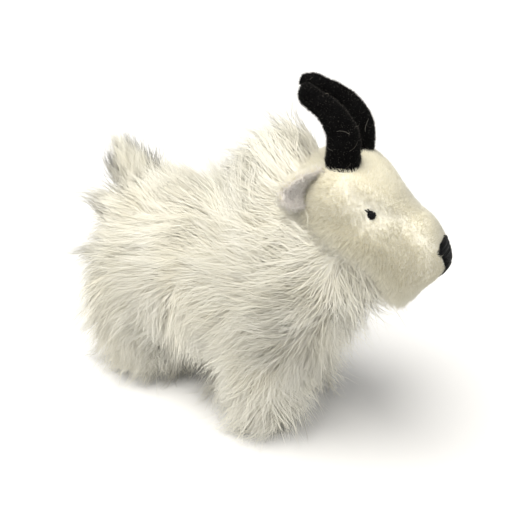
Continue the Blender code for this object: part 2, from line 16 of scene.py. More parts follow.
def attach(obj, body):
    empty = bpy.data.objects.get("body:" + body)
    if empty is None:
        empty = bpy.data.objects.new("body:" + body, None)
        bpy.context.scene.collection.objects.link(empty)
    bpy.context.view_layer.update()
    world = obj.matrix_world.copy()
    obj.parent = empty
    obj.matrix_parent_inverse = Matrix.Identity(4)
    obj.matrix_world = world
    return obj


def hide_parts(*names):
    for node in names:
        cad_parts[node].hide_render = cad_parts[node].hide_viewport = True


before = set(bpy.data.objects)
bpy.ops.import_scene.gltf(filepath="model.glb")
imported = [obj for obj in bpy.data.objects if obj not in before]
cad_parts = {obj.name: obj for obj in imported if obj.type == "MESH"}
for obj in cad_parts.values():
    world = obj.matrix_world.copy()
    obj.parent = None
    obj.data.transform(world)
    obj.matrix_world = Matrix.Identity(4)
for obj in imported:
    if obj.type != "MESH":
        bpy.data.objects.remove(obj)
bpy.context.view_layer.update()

MM = 0.001
BODY = "root"
ALONG = (1, 0, 0)
ACROSS = (0, 1, 0)
UP = (0, 0, 1)

# The side view's x is measured from under the withers, and the origin is this far from there.
MIDDLE_X = -5.7

# The sewn skin, as sections across the body: x, centre z, half height, half width.
TORSO = (
    (-76, 71, 8, 8),
    (-74, 70, 17, 14),
    (-68, 68, 27, 21),
    (-58, 65, 34, 26),
    (-40, 64, 37, 29),
    (-14, 61.5, 35, 30),
    (10, 60, 34, 29),
    (24, 59, 30, 26),
    (33, 58, 22, 20),
    (38, 58, 12, 12),
    (40, 58, 5, 5),
)

# Sections across the neck: x and z at the nape, x and z at the throat, half width.
NECK = (
    (-18, 86, 26, 36, 26),
    (-10, 99, 35, 46, 29),
    (-3, 109, 41, 57, 29.5),
    (5, 118.5, 46, 68, 28),
    (14, 127.5, 52.5, 76, 25.5),
    (22, 131, 57, 82, 21),
    (30, 129, 57, 91, 15),
)
NAPE_NARROWS = 0.26

# Sections across the head: x, top z, bottom z, half width. It is turned a little to the goat's left.
HEAD = (
    (18, 120, 104, 8),
    (22, 126.5, 98, 14),
    (30, 131, 90, 20),
    (40, 132.4, 82, 23.5),
    (48, 131.7, 77.5, 24.4),
    (54, 128.7, 75.5, 23.7),
    (59, 124.2, 75.9, 22),
    (63.5, 119.6, 76.9, 20),
    (68.5, 115.4, 79.3, 17.7),
    (73, 112.6, 82.3, 15.7),
    (76.5, 109.5, 85.4, 14.2),
    (79.5, 105.3, 88.5, 11.9),
    (82, 101, 92, 8.2),
    (83.3, 97.9, 93.9, 4.5),
)
HEAD_TURN = 8.0
HEAD_TURNS_AT = (30.0, 0.0)

# Legs: sections from the floor up, as z, half length, half width.
HIND_LEG = (
    (0.4, 8, 7),
    (2, 10, 9),
    (7, 12, 10.5),
    (16, 13.5, 11.5),
    (30, 17, 12.5),
    (48, 20, 13),
    (60, 15, 10),
)
FRONT_LEG = (
    (0.4, 9, 7),
    (2, 11, 9),
    (7, 12.5, 10.5),
    (16, 13.5, 11),
    (30, 14, 12),
    (48, 15, 12.5),
    (58, 11, 9),
)
HIND_LEG_X = -61.0
FRONT_LEG_X = 14.5
LEG_Y = 16.0

# The edge of the head's short pile, as points (x, z) in the side view of the straight head.
FACE_EDGE = (
    (20, 200),
    (30, 150),
    (31, 134),
    (28, 127),
    (24.5, 119),
    (30, 114),
    (38, 111.5),
    (47.5, 109.5),
    (54, 107),
    (60, 102.5),
    (64.5, 97.5),
    (67.5, 91),
    (69, 80),
    (71, 60),
    (110, -40),
)

# The tail: a stub that stands up from the rump, as x, z, half thickness.
TAIL = ((-62, 86, 7), (-67, 93, 7.5), (-72, 100, 7), (-76, 105, 5), (-78, 108, 2.5))

# One horn: x and z of its centre line, half thickness, half width, and how far it stands from the middle.
HORN = (
    (41.0, 124, 6.2, 5.3, 8.8),
    (41.7, 130.5, 6.3, 5.3, 9.4),
    (41.4, 140, 5.8, 4.9, 9.8),
    (38.3, 146, 5.0, 4.2, 10.1),
    (34.0, 150.1, 4.3, 3.6, 10.2),
    (28.1, 153, 3.7, 3.1, 9.8),
    (23.8, 154.8, 3.6, 3.0, 9.1),
    (20.9, 155.7, 1.9, 1.6, 8.5),
)
HORN_UNEVEN = 3.3

# One ear: a short cupped leaf. Its root runs along a line on the side of the head, from high to low.
EAR_HIGH = (35.0, 13.6, 129.0)
EAR_LOW = (31.2, 19.3, 116.0)
EAR_OUT = (-0.58, 0.80, 0.02)
EAR_LENGTH = 11.5
EAR_ROOT_DEPTH = 4.0
EAR_THICK = 2.97
EAR_RIM = 0.75
EAR_CUP = 3.2
EAR_ROUNDNESS = 3.6

EYE_AT = (56.1, 116.3)

# Half of the nose's outline, as y and z: wide above the lips, narrow at the chin.
NOSE_OUTLINE = ((0, 103.9), (4.0, 103.7), (7.3, 102.4), (5.7, 98.3), (3.8, 94.3), (2.9, 91.2))
NOSE_TOP_SLOPE = 2.5
NOSE_FROM_X = 72

# The camera: where it stands round the goat, how far off, and what it aims at.
CAMERA_AZIMUTH = 34.0
CAMERA_ELEVATION = 28.0
CAMERA_DISTANCE = 270.0
CAMERA_AIM = (0.0, 0.0, 77.0)
FOCAL_PIXELS = 600.0
IMAGE_PIXELS = 512.0
SENSOR_MM = 36.0
LIGHT_AWAY = 2.5
FLOOR_REACH = 6.0
FLOOR_COLOUR = (0.88, 0.88, 0.88)

# Tones of the pile at its roots, part way up and at its tips, and of the felt's ground.
FUR_TONES = ((0.92, 0.875, 0.74), (0.935, 0.905, 0.80), (0.95, 0.935, 0.86))
FACE_TONES = ((0.78, 0.71, 0.52), (0.89, 0.845, 0.68), (0.95, 0.92, 0.80))
EAR_TONES = ((0.82, 0.75, 0.70), (0.93, 0.89, 0.86), (0.98, 0.96, 0.94))
FELT_BLACK = (0.0015, 0.0015, 0.0017)

# How far each kind of strand is shaded as the skin below it is.
PILE_SOFT = 0.7
FACE_SOFT = 0.45
NAP_SOFT = 0.3

# The long pile: how far its tips stand out from the skin, and where it gets deeper and shorter.
COAT_DEPTH = 13.0
COAT_EXTRA = 0.75
COAT_OFF_TAIL = 0.45
COAT_AT_FACE = 0.3
COAT_AT_CHEEK = 0.1
FACE_FRINGE = 16.0
COAT_AT_SOLE = 0.1
FOOT_FRINGE = 11.0
PILE_LENGTH = 24.0
PILE_SINK = 0.8
FLOOR_CLEAR = 0.4
FLOOR_BENDS_FROM = 6.0
SIDE_BENDS_FROM = 46.0
SIDE_LIMIT = 53.8

# Where the fan of the chest starts, as x and z, where a lock hangs straight down behind the shoulder, and
# the stretch of belly between the legs that the coat hangs over.
FAN_FROM = (38.0, 70.0)
DROP_X = -17.0
BELLY_X = -20.0
BELLY_REACH = 28.0

# The locks that the strands follow: how many places are tried, how far apart they stay, how many are wisps,
# how late each kind rises to its tip, and how tousled the silkiest coat is.
GUIDE_TRIES = 16000
GUIDE_SPACING = 3.4
GUIDE_STEPS = 6
WISP_SHARE = 0.4
RISE = 0.85
WISP_RISE = 1.25
SILKY_SCRUFF = 0.25

# The pile's three lengths of hair: name, how many, segments, least and greatest share of a lock's length,
# radius, and the share of guard hairs that stand apart.
PILE_LAYERS = (
    ("long_pile", 24500, 4, 0.78, 1.08, 0.09, 0.28),
    ("under_pile", 32000, 3, 0.4, 0.85, 0.12, 0.1),
    ("base_pile", 16000, 2, 0.22, 0.5, 0.26, 0.0),
)

# Locks that hang apart: the middle of the roots, the tip, how far round they gather hair and how far they
# bow out.
LOCKS = (
    ((-15.6, -31, 72), (-20, -37.5, 27), 5.2, 3.0),
    ((-15.6, 31, 72), (-20, 37.5, 27), 5.2, 3.0),
    ((44, -24, 84), (36, -33, 60), 4.0, 3.0),
)

# The short pile of the face: how many tufts, how long and how thick.
FACE_TUFTS = 54000
FACE_TUFT_LENGTH = 2.2
FACE_TUFT_RADIUS = 0.105

# Naps: how many tufts, how long, how thick and how far they lean.
HORN_FUZZ = (8000, 0.75, 0.11, 0.9)
EAR_PILE = (7000, 2.2, FACE_TUFT_RADIUS, 1.0)
EAR_NAP = (3500, 2.2 * 0.8, FACE_TUFT_RADIUS * 1.2, 1.5)
HORN_BARE = 1.6
LINT_FIBRES = 16
LINT_RADIUS = 0.04

# Where the head's two panels meet, as points (x, z) of the straight head, and how deep the seam pulls in.
PANEL_SEAM = ((45, 127), (51, 121.5), (57, 117), (63.5, 114.5), (68.9, 111.2), (74, 107.8), (78.6, 104.5))
SEAM_DEPTH = 0.8
SEAM_REACH = 1.9
EYE_DIMPLE = 0.7
EYE_DIMPLE_REACH = 3.6
HEAD_INSET = 0.9
HORN_COLLAR = 2.2
HORN_COLLAR_AT = (42.5, 14.5)
CHEEK_LIP = 1.4
UNDER_FUR_INSET = 5.0

# Threads of the nose and eyes. An eye's loose ends are how far back and up they point, and their length.
THREAD_RADIUS = 0.25
NOSE_STITCH_STEP = 0.56
NOSE_PRONGS = (-3.1, -2.4, -1.6, 1.3, 2.1, 3.0)
EYE_KNOT = 1.55
EYE_STITCHES = 17
EYE_LOOSE_ENDS = ((1.0, 0.55, 2.1), (0.75, 0.95, 1.5))

# Pieces: the most triangles in one, the size of a strand's patch on the unwrap, and the grain of the skin.
PIECE_TRIANGLES = 190000
BAKE_PATCH = 0.003
SKIN_VOXEL = 1.6
SEED = 11


def to_frame(points):
    """Side-view millimetres as metres of the frame."""
    points = np.asarray(points, float).reshape(-1, 3).copy()
    points[:, 0] -= MIDDLE_X
    return points * MM


def from_frame(points):
    """Metres of the frame as side-view millimetres."""
    points = np.asarray(points, float).reshape(-1, 3) / MM
    points[:, 0] += MIDDLE_X
    return points


def ease(value):
    """0 below 0, 1 above 1 and a smooth rise between, for a number or an array."""
    value = np.clip(value, 0.0, 1.0)
    return value * value * (3 - 2 * value)


def above(value, start, width):
    """A smooth rise from 0 to 1 as a value goes from start to a width above it."""
    return ease((value - start) / width)


def under(value, start, width):
    """A smooth rise from 0 to 1 as a value goes from start to a width under it."""
    return ease((start - value) / width)


def unit(vectors):
    """Vectors at length 1."""
    return vectors / np.maximum(np.linalg.norm(vectors, axis=-1, keepdims=True), 1e-9)


def across_surface(ways, facing):
    """Ways laid flat on the surface that they start from, at length 1."""
    return unit(ways - facing * (ways * facing).sum(axis=1, keepdims=True))


def between(a, b, c, d, t):
    """A number part of the way from b to c, on a curve through all four."""
    bend = (2 * a - 5 * b + 4 * c - d) * t**2
    return 0.5 * (2 * b + (c - a) * t + bend + (3 * b - a - 3 * c + d) * t**3)


def smooth(stations, steps):
    """The stations with steps - 1 more between each two, along a curve through them all."""
    made = []
    last = len(stations) - 1
    for i in range(last):
        four = (stations[max(i - 1, 0)], stations[i], stations[i + 1], stations[min(i + 2, last)])
        for k in range(steps):
            made.append(tuple(between(*numbers, k / steps) for numbers in zip(*four)))
    return made + [tuple(stations[-1])]


def ring(centre, across, up, half_width, half_height, corners, power=2.0):
    """Points of a rounded section round centre: power 2 is an ellipse, more is squarer."""
    made = []
    for k in range(corners):
        turn = 2 * math.pi * k / corners
        c, s = math.cos(turn), math.sin(turn)
        x = math.copysign(abs(c) ** (2 / power), c) * half_width
        y = math.copysign(abs(s) ** (2 / power), s) * half_height
        made.append(Vector(centre) + Vector(across) * x + Vector(up) * y)
    return made


def turned(point, degrees=HEAD_TURN):
    """A point of the straight head, turned with the head."""
    about = Vector((*HEAD_TURNS_AT, 0))
    return about + Matrix.Rotation(math.radians(degrees), 3, "Z") @ (Vector(point) - about)


def turned_way(way):
    """A direction on the straight head, turned with the head."""
    return turned(way) - turned((0, 0, 0))


def straightened(points):
    """Points of the turned head, as they would be on the straight head."""
    turn = math.radians(-HEAD_TURN)
    x, y = points[:, 0] - HEAD_TURNS_AT[0], points[:, 1] - HEAD_TURNS_AT[1]
    made = points.copy()
    made[:, 0] = HEAD_TURNS_AT[0] + x * math.cos(turn) - y * math.sin(turn)
    made[:, 1] = HEAD_TURNS_AT[1] + x * math.sin(turn) + y * math.cos(turn)
    return made


def behind_face(point):
    """How far a point is behind the edge of the head's short pile, and less than nothing in front of it."""
    point = turned(point, -HEAD_TURN)
    spot = Vector((point[0], point[2]))
    nearest, side = 1e9, 1
    for (x0, z0), (x1, z1) in zip(FACE_EDGE, FACE_EDGE[1:]):
        start, line = Vector((x0, z0)), Vector((x1 - x0, z1 - z0))
        along = min(max((spot - start).dot(line) / line.dot(line), 0), 1)
        away = (spot - start - line * along).length
        if away < nearest:
            nearest = away
            side = 1 if (spot - start).cross(line) > 0 else -1
    return nearest * side


def under_sole(points, facing, height):
    """Which places are on a foot's sole, where no long pile grows."""
    return (points[:, 2] < height) & (facing[:, 2] < -0.6)


def near_nape(point):
    """1 along the top of the neck, and less down its sides."""
    nape = np.interp(point[0], [p[0] for p in NECK], [p[1] for p in NECK])
    return float(above(point[2] - nape, -20, 14) * above(point[0], -22, 14))


def on_tail(point):
    """1 on the tail and 0 off it."""
    return float(above(point[2], 90, 8) * under(point[0], -58, 6))


def coat_depth(point, outwards):
    """How far the coat's tips stand out from the skin at a point."""
    crest = above(outwards[2], 0.1, 0.5) * near_nape(point)
    crest *= 1 - 0.15 * above(point[0], 10, 14)
    rump = under(point[0], -56, 14)
    from_face = ease(behind_face(point) / FACE_FRINGE)
    at_edge = COAT_AT_FACE + (COAT_AT_CHEEK - COAT_AT_FACE) * under(point[2], 114, 8)
    share = at_edge + (1 - at_edge) * max(from_face, crest)
    deeper = 1 + COAT_EXTRA * crest + COAT_EXTRA * rump
    by_tail = 1 - COAT_OFF_TAIL * on_tail(point)
    by_sole = COAT_AT_SOLE + (1 - COAT_AT_SOLE) * above(point[2], -1, FOOT_FRINGE)
    return COAT_DEPTH * share * deeper * by_tail * by_sole


def lie(p):
    """The way the long pile points: back over the body, up along the mane, in a fan over the chest."""
    side = 1 if p.y > 0 else -1
    belly = under(abs(p.x - BELLY_X), BELLY_REACH, 12)
    upright = above(p.x, 6, 20)
    fan = Vector(((p.x - FAN_FROM[0]) * 1.5, p.y * 0.3, p.z - FAN_FROM[1])).normalized()
    down_leg = ((p.x - HIND_LEG_X) * 0.04 - 0.3, (p.y - side * LEG_Y) * 0.035, -1)
    by_leg = under(abs(p.x - HIND_LEG_X), 24, 12)
    # Low on the body, the lock behind the shoulder, the back, the rump, the mane, the chest, the throat, the
    # tail and the hind leg, each as how far the coat follows it and which way that is.
    turns = (
        (under(p.z, 66, 26), (-0.66 + 0.3 * belly, 0.1 * side, -0.75 - 0.25 * belly)),
        (under(abs(p.x - DROP_X), 10, 6) * under(p.z, 80, 14) * 0.9, (-0.12, 0.05 * side, -1)),
        (above(p.z, 84, 14) * under(p.x, -8, 12), (-1, 0.1 * side, 0.22)),
        (under(p.x, -58, 16), (-0.7, 0.3 * side, (p.z - 72) / 26)),
        (near_nape(p), (-0.9 + 0.75 * upright, p.y * 0.02, 0.9)),
        (above(p.x, 2, 16) * under(p.z, 84, 16), fan),
        (above(p.x, 43, 8) * above(p.z, 68, 10) * under(p.z, 104, 10), (0.55, 0.15 * side, -0.8)),
        (above(p.z, 88, 8) * under(p.x, -58, 6), ((p.x + 73) * 0.06, p.y * 0.06, 0.8)),
        (by_leg * under(p.z, 40, 20), down_leg),
    )
    way = Vector((-1, 0.05 * side, -0.14))
    for share, towards in turns:
        way = way.lerp(Vector(towards), share)
    return way.normalized()


def density(points):
    """How thickly the long pile grows at places: more on the tail and the crown, where it spreads out."""
    tail = above(points[:, 2], 88, 8) * under(points[:, 0], -56, 8)
    crown = above(points[:, 2], 112, 12) * above(points[:, 0], -6, 12)
    rump = under(points[:, 0], -62, 8)
    return 1 + 2.2 * tail + 0.8 * crown + 0.6 * rump


def scruff(points):
    """How tousled the long pile is at places: silky over the back, loose on chest and legs."""
    chest = above(points[:, 0], 2, 16) * under(points[:, 2], 122, 22)
    low = under(points[:, 2], 46, 30)
    tail = above(points[:, 2], 90, 8) * under(points[:, 0], -56, 8)
    return SILKY_SCRUFF + (1 - SILKY_SCRUFF) * np.maximum(np.maximum(chest, 0.4 * tail), 0.7 * low)


# Meshes


def small_mesh(name, points, faces):
    """A smooth-shaded mesh from points in side-view millimetres."""
    mesh = bpy.data.meshes.new(name)
    mesh.from_pydata([tuple(p) for p in to_frame(points)], [], [tuple(f) for f in faces])
    mesh.validate()
    mesh.update()
    mesh.shade_smooth()
    return mesh


def wall(rings, first=0):
    """Faces between rings of points that are numbered in order from first."""
    count = len(rings[0])
    faces = []
    for r in range(len(rings) - 1):
        for k in range(count):
            a, b = first + r * count + k, first + r * count + (k + 1) % count
            faces.append((a, b, b + count, a + count))
    return faces


def two_sided(rows, columns):
    """Faces of a leaf with a front and a back grid of points: its front, and its back and rim."""
    row, shift = columns + 1, (rows + 1) * (columns + 1)
    front, back = [], []
    for i in range(rows):
        for k in range(columns):
            a = i * row + k
            front.append((a, a + 1, a + 1 + row, a + row))
            back.append(tuple(shift + v for v in (a, a + row, a + 1 + row, a + 1)))
        for a in (i * row, i * row + columns):
            back.append((a, a + row, a + row + shift, a + shift))
    for start in (0, rows * row):
        for a in range(start, start + columns):
            back.append((a, a + 1, a + 1 + shift, a + shift))
    return front, back


def place(name, data):
    """A mesh, lamp or camera as an object of the scene."""
    made = bpy.data.objects.new(name, data)
    bpy.context.scene.collection.objects.link(made)
    return made


def select(*pieces):
    """Selects only these pieces, the first of them active."""
    bpy.ops.object.select_all(action="DESELECT")
    for piece in pieces:
        piece.select_set(True)
    bpy.context.view_layer.objects.active = pieces[0]


def on_all_faces(piece, operator, **settings):
    """Runs one of Blender's edit-mode operators on all faces of a piece."""
    select(piece)
    bpy.ops.object.mode_set(mode="EDIT")
    bpy.ops.mesh.select_all(action="SELECT")
    operator(**settings)
    bpy.ops.object.mode_set(mode="OBJECT")
    return piece


def outward(piece):
    """Turns a closed mesh's faces outwards."""
    return on_all_faces(piece, bpy.ops.mesh.normals_make_consistent, inside=False)


def unwrap(piece):
    """Gives a piece an unwrap of its own shape, named OFBake."""
    piece.data.uv_layers.new(name="OFBake")
    return on_all_faces(piece, bpy.ops.uv.smart_project, angle_limit=math.radians(66), island_margin=0.004)


def closed(name, rings):
    """A closed piece over rings of points, each end a fan to its ring's middle, with its faces outwards."""
    count = len(rings[0])
    points = [tuple(p) for section in rings for p in section]
    faces = wall(rings)
    for section, start, flip in ((rings[0], 0, True), (rings[-1], len(points) - count, False)):
        middle = len(points)
        points.append(tuple(sum((Vector(p) for p in section), Vector()) / count))
        for k in range(count):
            a, b = start + k, start + (k + 1) % count
            faces.append((b, a, middle) if flip else (a, b, middle))
    return outward(place(name, small_mesh(name, points, faces)))


def dress(piece, slot, material, *nodes):
    """Sets a piece on the body in its material, in the place of its CAD nodes. The slot is not used."""
    piece.data.materials.clear()
    piece.data.materials.append(material)
    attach(piece, BODY)
    if nodes:
        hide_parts(*nodes)
    return piece


def values_of(items, name, width, kind=np.float32):
    """One property of all of a mesh's items, as rows of so many values."""
    made = np.zeros(len(items) * width, kind)
    items.foreach_get(name, made)
    return made.reshape(-1, width)


# Skin


def torso_rings(corners=48, steps=4):
    """Upright sections of the torso."""
    stations = smooth(TORSO, steps)
    return [ring((x, 0, z), ACROSS, UP, wide, high, corners, 2.15) for x, z, high, wide in stations]


def neck_rings(corners=48, steps=4):
    """Sections from the nape to the throat, wider towards the throat."""
    rings = []
    for nape_x, nape_z, throat_x, throat_z, wide in smooth(NECK, steps):
        nape, throat = Vector((nape_x, 0, nape_z)), Vector((throat_x, 0, throat_z))
        up = (nape - throat).normalized()
        deep = (nape - throat).length / 2
        section = ring((nape + throat) / 2, ACROSS, up, wide, deep, corners, 2.1)
        for p in section:
            p.y *= 1 - NAPE_NARROWS * (p - (nape + throat) / 2).dot(up) / deep
        rings.append(section)
    return rings


def head_rings(grow, corners, steps):
    """Upright sections of the head, turned with it."""
    stations = smooth(HEAD, steps)
    first, last = stations[0][0], stations[-1][0]
    rings = []
    for x, top, bottom, wide in stations:
        along = (x - first) / (last - first) * 2 - 1
        centre = (x + grow * along**5, 0, (top + bottom) / 2)
        section = ring(centre, ACROSS, UP, wide + grow, (top - bottom) / 2 + grow, corners, 2.2)
        rings.append([turned(p) for p in section])
    return rings


def leg_rings(sections, x, side, corners=32, steps=4):
    """Level sections of one leg, flat on the floor."""
    levels = smooth(sections, steps)
    return [ring((x, side * LEG_Y, z), ALONG, ACROSS, long, wide, corners, 2.3) for z, long, wide in levels]


def tail_rings(corners=24, steps=4):
    """Sections of the tail, square to its line."""
    lean = Vector((TAIL[-1][0] - TAIL[0][0], 0, TAIL[-1][1] - TAIL[0][1])).normalized()
    up = lean.cross(Vector(ACROSS))
    return [ring((x, 0, z), ACROSS, up, r, r, corners) for x, z, r in smooth(TAIL, steps)]


def body_skin(material):
    """The sewn cover of torso, neck, tail and legs, as one closed skin."""
    forms = [torso_rings(), neck_rings(), tail_rings(), head_rings(-UNDER_FUR_INSET, 40, 3)]
    for side in (-1, 1):
        forms.append(leg_rings(HIND_LEG, HIND_LEG_X, side))
        forms.append(leg_rings(FRONT_LEG, FRONT_LEG_X, side))
    pieces = [closed("form", rings) for rings in forms]
    select(*pieces)
    bpy.ops.object.join()
    skin = pieces[0]
    skin.name = "body_cover"
    step = skin.modifiers.new("one skin", "REMESH")
    step.mode = "VOXEL"
    step.voxel_size = SKIN_VOXEL * MM
    step.use_smooth_shade = True
    relax = skin.modifiers.new("relax", "SMOOTH")
    relax.factor = 0.5
    relax.iterations = 6
    graph = bpy.context.evaluated_depsgraph_get()
    mesh = bpy.data.meshes.new_from_object(skin.evaluated_get(graph))
    skin.modifiers.clear()
    skin.data = mesh
    mesh.name = "body_cover"
    unwrap(skin)
    legs = [f"leg_{end}_{side}" for end in ("front", "hind") for side in ("right", "left")]
    return dress(skin, "long_pile", material, "torso", "neck", "tail", *legs)


class Skin:
    """A skin's surface: places for roots, the way it faces, its unwrap, and the nearest place on it."""

    def __init__(self, piece):
        mesh = piece.data
        mesh.calc_loop_triangles()
        self.points = from_frame(values_of(mesh.vertices, "co", 3))
        self.normals = values_of(mesh.vertices, "normal", 3)
        self.faces = values_of(mesh.loop_triangles, "vertices", 3, np.int32)
        loops = values_of(mesh.loop_triangles, "loops", 3, np.int32)
        self.uv = values_of(mesh.uv_layers["OFBake"].uv, "vector", 2)[loops]
        a, b, c = (self.points[self.faces[:, k]] for k in range(3))
        self.areas = np.linalg.norm(np.cross(b - a, c - a), axis=1) / 2
        self.tree = BVHTree.FromPolygons([tuple(p) for p in self.points], self.faces.tolist())

    def scatter(self, count, dice, weigh=None):
        """Random places: points, facing and unwrap places. weigh is a density for the faces' middles."""
        weight = self.areas.copy()
        if weigh is not None:
            weight *= weigh(self.points[self.faces].mean(axis=1))
        at = dice.choice(len(weight), size=count, p=weight / weight.sum())
        u, v = dice.random(count), dice.random(count)
        over = u + v > 1
        u[over], v[over] = 1 - u[over], 1 - v[over]
        share = np.stack([1 - u - v, u, v], axis=1)[:, :, None]
        points = (self.points[self.faces[at]] * share).sum(axis=1)
        facing = unit((self.normals[self.faces[at]] * share).sum(axis=1))
        return points, facing, (self.uv[at] * share).sum(axis=1)

    def below(self, p):
        """The nearest place on the skin, and the way it faces there."""
        spot, facing, _, _ = self.tree.find_nearest(p)
        return spot, facing


# Strands


def strand_faces(levels):
    """Triangles of a three-sided strand: its root, the walls between its rings, and its tip."""
    faces = [(0, 2, 1)]
    for r in range(levels - 1):
        for k in range(3):
            a, b = r * 3 + k, r * 3 + (k + 1) % 3
            faces += [(a, b, b + 3), (a, b + 3, a + 3)]
    end = (levels - 1) * 3
    return np.array(faces + [(end + k, end + (k + 1) % 3, levels * 3) for k in range(3)])


def strand_points(paths, facing, radius, flat, soft):
    """Points of three-sided strands that end in a tip, and the normals that they are shaded with."""
    count, levels = paths.shape[0], paths.shape[1] - 1
    along = unit(np.gradient(paths, axis=1))
    side = unit(np.cross(along, facing[:, None, :] + np.array([0.013, 0.021, 0.017])))
    over = np.cross(side, along)
    roll = np.random.default_rng(SEED + count).normal(size=count)[:, None, None] * 0.35
    side, over = side * np.cos(roll) + over * np.sin(roll), over * np.cos(roll) - side * np.sin(roll)
    angles = np.radians([270, 150, 30])
    wide = side[:, :levels, None, :] * np.cos(angles)[None, None, :, None] * flat[:, None, None, None]
    section = wide + over[:, :levels, None, :] * np.sin(angles)[None, None, :, None]
    body = paths[:, :levels, None, :] + section * radius[:, :levels, None, None]
    points = np.concatenate([body.reshape(count, levels * 3, 3), paths[:, -1:, :]], axis=1)
    outwards = np.concatenate([unit(section).reshape(count, levels * 3, 3), along[:, -1:, :]], axis=1)
    return points, unit(outwards * (1 - soft) + facing[:, None, :] * soft)


def strand_mesh(name, points, normals, faces, unwrapped, level, tint):
    """One piece of many strands, with how far along the strand each point is and each strand's tint."""
    count, size, _ = points.shape
    corners = (faces[None] + (np.arange(count) * size)[:, None, None]).reshape(-1)
    mesh = bpy.data.meshes.new(name)
    mesh.vertices.add(count * size)
    mesh.vertices.foreach_set("co", to_frame(points).astype(np.float32).ravel())
    mesh.loops.add(len(corners))
    mesh.loops.foreach_set("vertex_index", corners.astype(np.int32))
    mesh.polygons.add(len(corners) // 3)
    mesh.polygons.foreach_set("loop_start", np.arange(0, len(corners), 3, dtype=np.int32))
    mesh.polygons.foreach_set("use_smooth", np.ones(len(corners) // 3, bool))
    layer = mesh.uv_layers.new(name="OFBake")
    layer.uv.foreach_set("vector", unwrapped.reshape(-1, 2)[corners].astype(np.float32).ravel())
    for word, numbers in (("along", np.tile(level, count)), ("tint", np.repeat(tint, size))):
        made = mesh.attributes.new(word, "FLOAT", "POINT")
        made.data.foreach_set("value", numbers.astype(np.float32))
    mesh.update(calc_edges=True)
    mesh.normals_split_custom_set_from_vertices(normals.reshape(-1, 3))
    return place(name, mesh)


def add_strands(name, slot, material, paths, facing, radius, flat, uv, tint, soft):
    """Closed three-sided tapering strands, in pieces of at most PIECE_TRIANGLES triangles.

    paths is strands by points by 3, radius is strands by points, and flat is how much wider than thick.
    soft is how far a strand is shaded as the skin below it is, as fine hair that light passes through.
    """
    levels = paths.shape[1] - 1
    points, normals = strand_points(paths, facing, radius, flat, soft)
    faces = strand_faces(levels)
    level = np.concatenate([np.repeat(np.arange(levels), 3), [levels]]) / levels
    corner = np.concatenate([np.tile([0.0, 0.5, 1.0], levels), [0.5]])
    patch = np.stack([corner, level], axis=1) * BAKE_PATCH - BAKE_PATCH / 2
    unwrapped = np.clip(uv[:, None, :] + patch[None], 0.001, 0.999)
    pieces = math.ceil(len(paths) / (PIECE_TRIANGLES // len(faces)))
    for n, rows in enumerate(np.array_split(np.arange(len(paths)), pieces)):
        block = (points[rows], normals[rows], faces, unwrapped[rows], level, tint[rows])
        dress(strand_mesh(f"{name}_{n + 1}", *block), slot, material)


def add_tufts(name, slot, material, points, facing, uv, tips, sink, radius, soft, dice):
    """Short straight tufts from just under a skin to their tips."""
    count = len(points)
    paths = np.stack([points - facing * sink, tips], axis=1)
    thick = (radius * dice.uniform(0.8, 1.3, count))[:, None] * np.ones((1, 2))
    add_strands(name, slot, material, paths, facing, thick, np.ones(count), uv, dice.random(count), soft)


# Long pile


def spread(points, near):
    """Which of the points to keep, so that none of them are nearer to another than near."""
    cells, kept = {}, []
    around = list(itertools.product((-1, 0, 1), repeat=3))
    for i, p in enumerate(points):
        x, y, z = (p // near).astype(int)
        others = (other for dx, dy, dz in around for other in cells.get((x + dx, y + dy, z + dz), ()))
        if all(((p - other) ** 2).sum() >= near * near for other in others):
            cells.setdefault((x, y, z), []).append(p)
            kept.append(i)
    return kept


def guide_path(skin, spot, facing, length, height, sway, turn_back, rise):
    """A hair's middle line: out of the skin, along the coat's lie and up to its tip.

    sway bends it to a side, turn_back gives that bend an S, and a greater rise leaves its height to the tip.
    """
    on_leg = max(under(abs(spot.x - leg_x), 20, 8) for leg_x in (HIND_LEG_X, FRONT_LEG_X))
    hang = 0.9 * float(under(spot.z, 42, 14)) * (1 - float(on_leg))
    here = spot - facing * PILE_SINK
    line = [here]
    for i in range(1, GUIDE_STEPS + 1):
        t = i / GUIDE_STEPS
        ground, up = skin.below(here)
        way = lie(ground)
        way = way + up.cross(way) * (sway * math.sin(math.pi * t) + turn_back * math.cos(math.pi * t))
        off = way.dot(up)
        way = way - up * off * (1 - hang if off > 0 else 1)
        if way.length < 0.2:
            way = way + Vector((-0.3, 0, -0.3))
        here = here + way.normalized() * (length / GUIDE_STEPS)
        ground, up = skin.below(here)
        away = (here - ground).length * (1 if (here - ground).dot(up) > 0 else -1)
        want = -PILE_SINK + (height + PILE_SINK) * t**rise
        hold = (1 if t < 0.3 else 0.8) * (1 - hang if want < away else 1)
        here = here + up * (want - away) * hold
        line.append(here)
    return line


def lock_path(spot, facing):
    """A hair's middle line where its root is in one of the locks that hang apart, and else nothing."""
    for start, end, near, bow in LOCKS:
        off = spot - Vector(start)
        if off.length < near:
            shares = [k / GUIDE_STEPS for k in range(GUIDE_STEPS + 1)]
            out = [bow * math.sin(math.pi * t**0.7) - PILE_SINK * (1 - t) for t in shares]
            return [spot.lerp(Vector(end) + off * 0.4, t) + facing * away for t, away in zip(shares, out)]
    return None


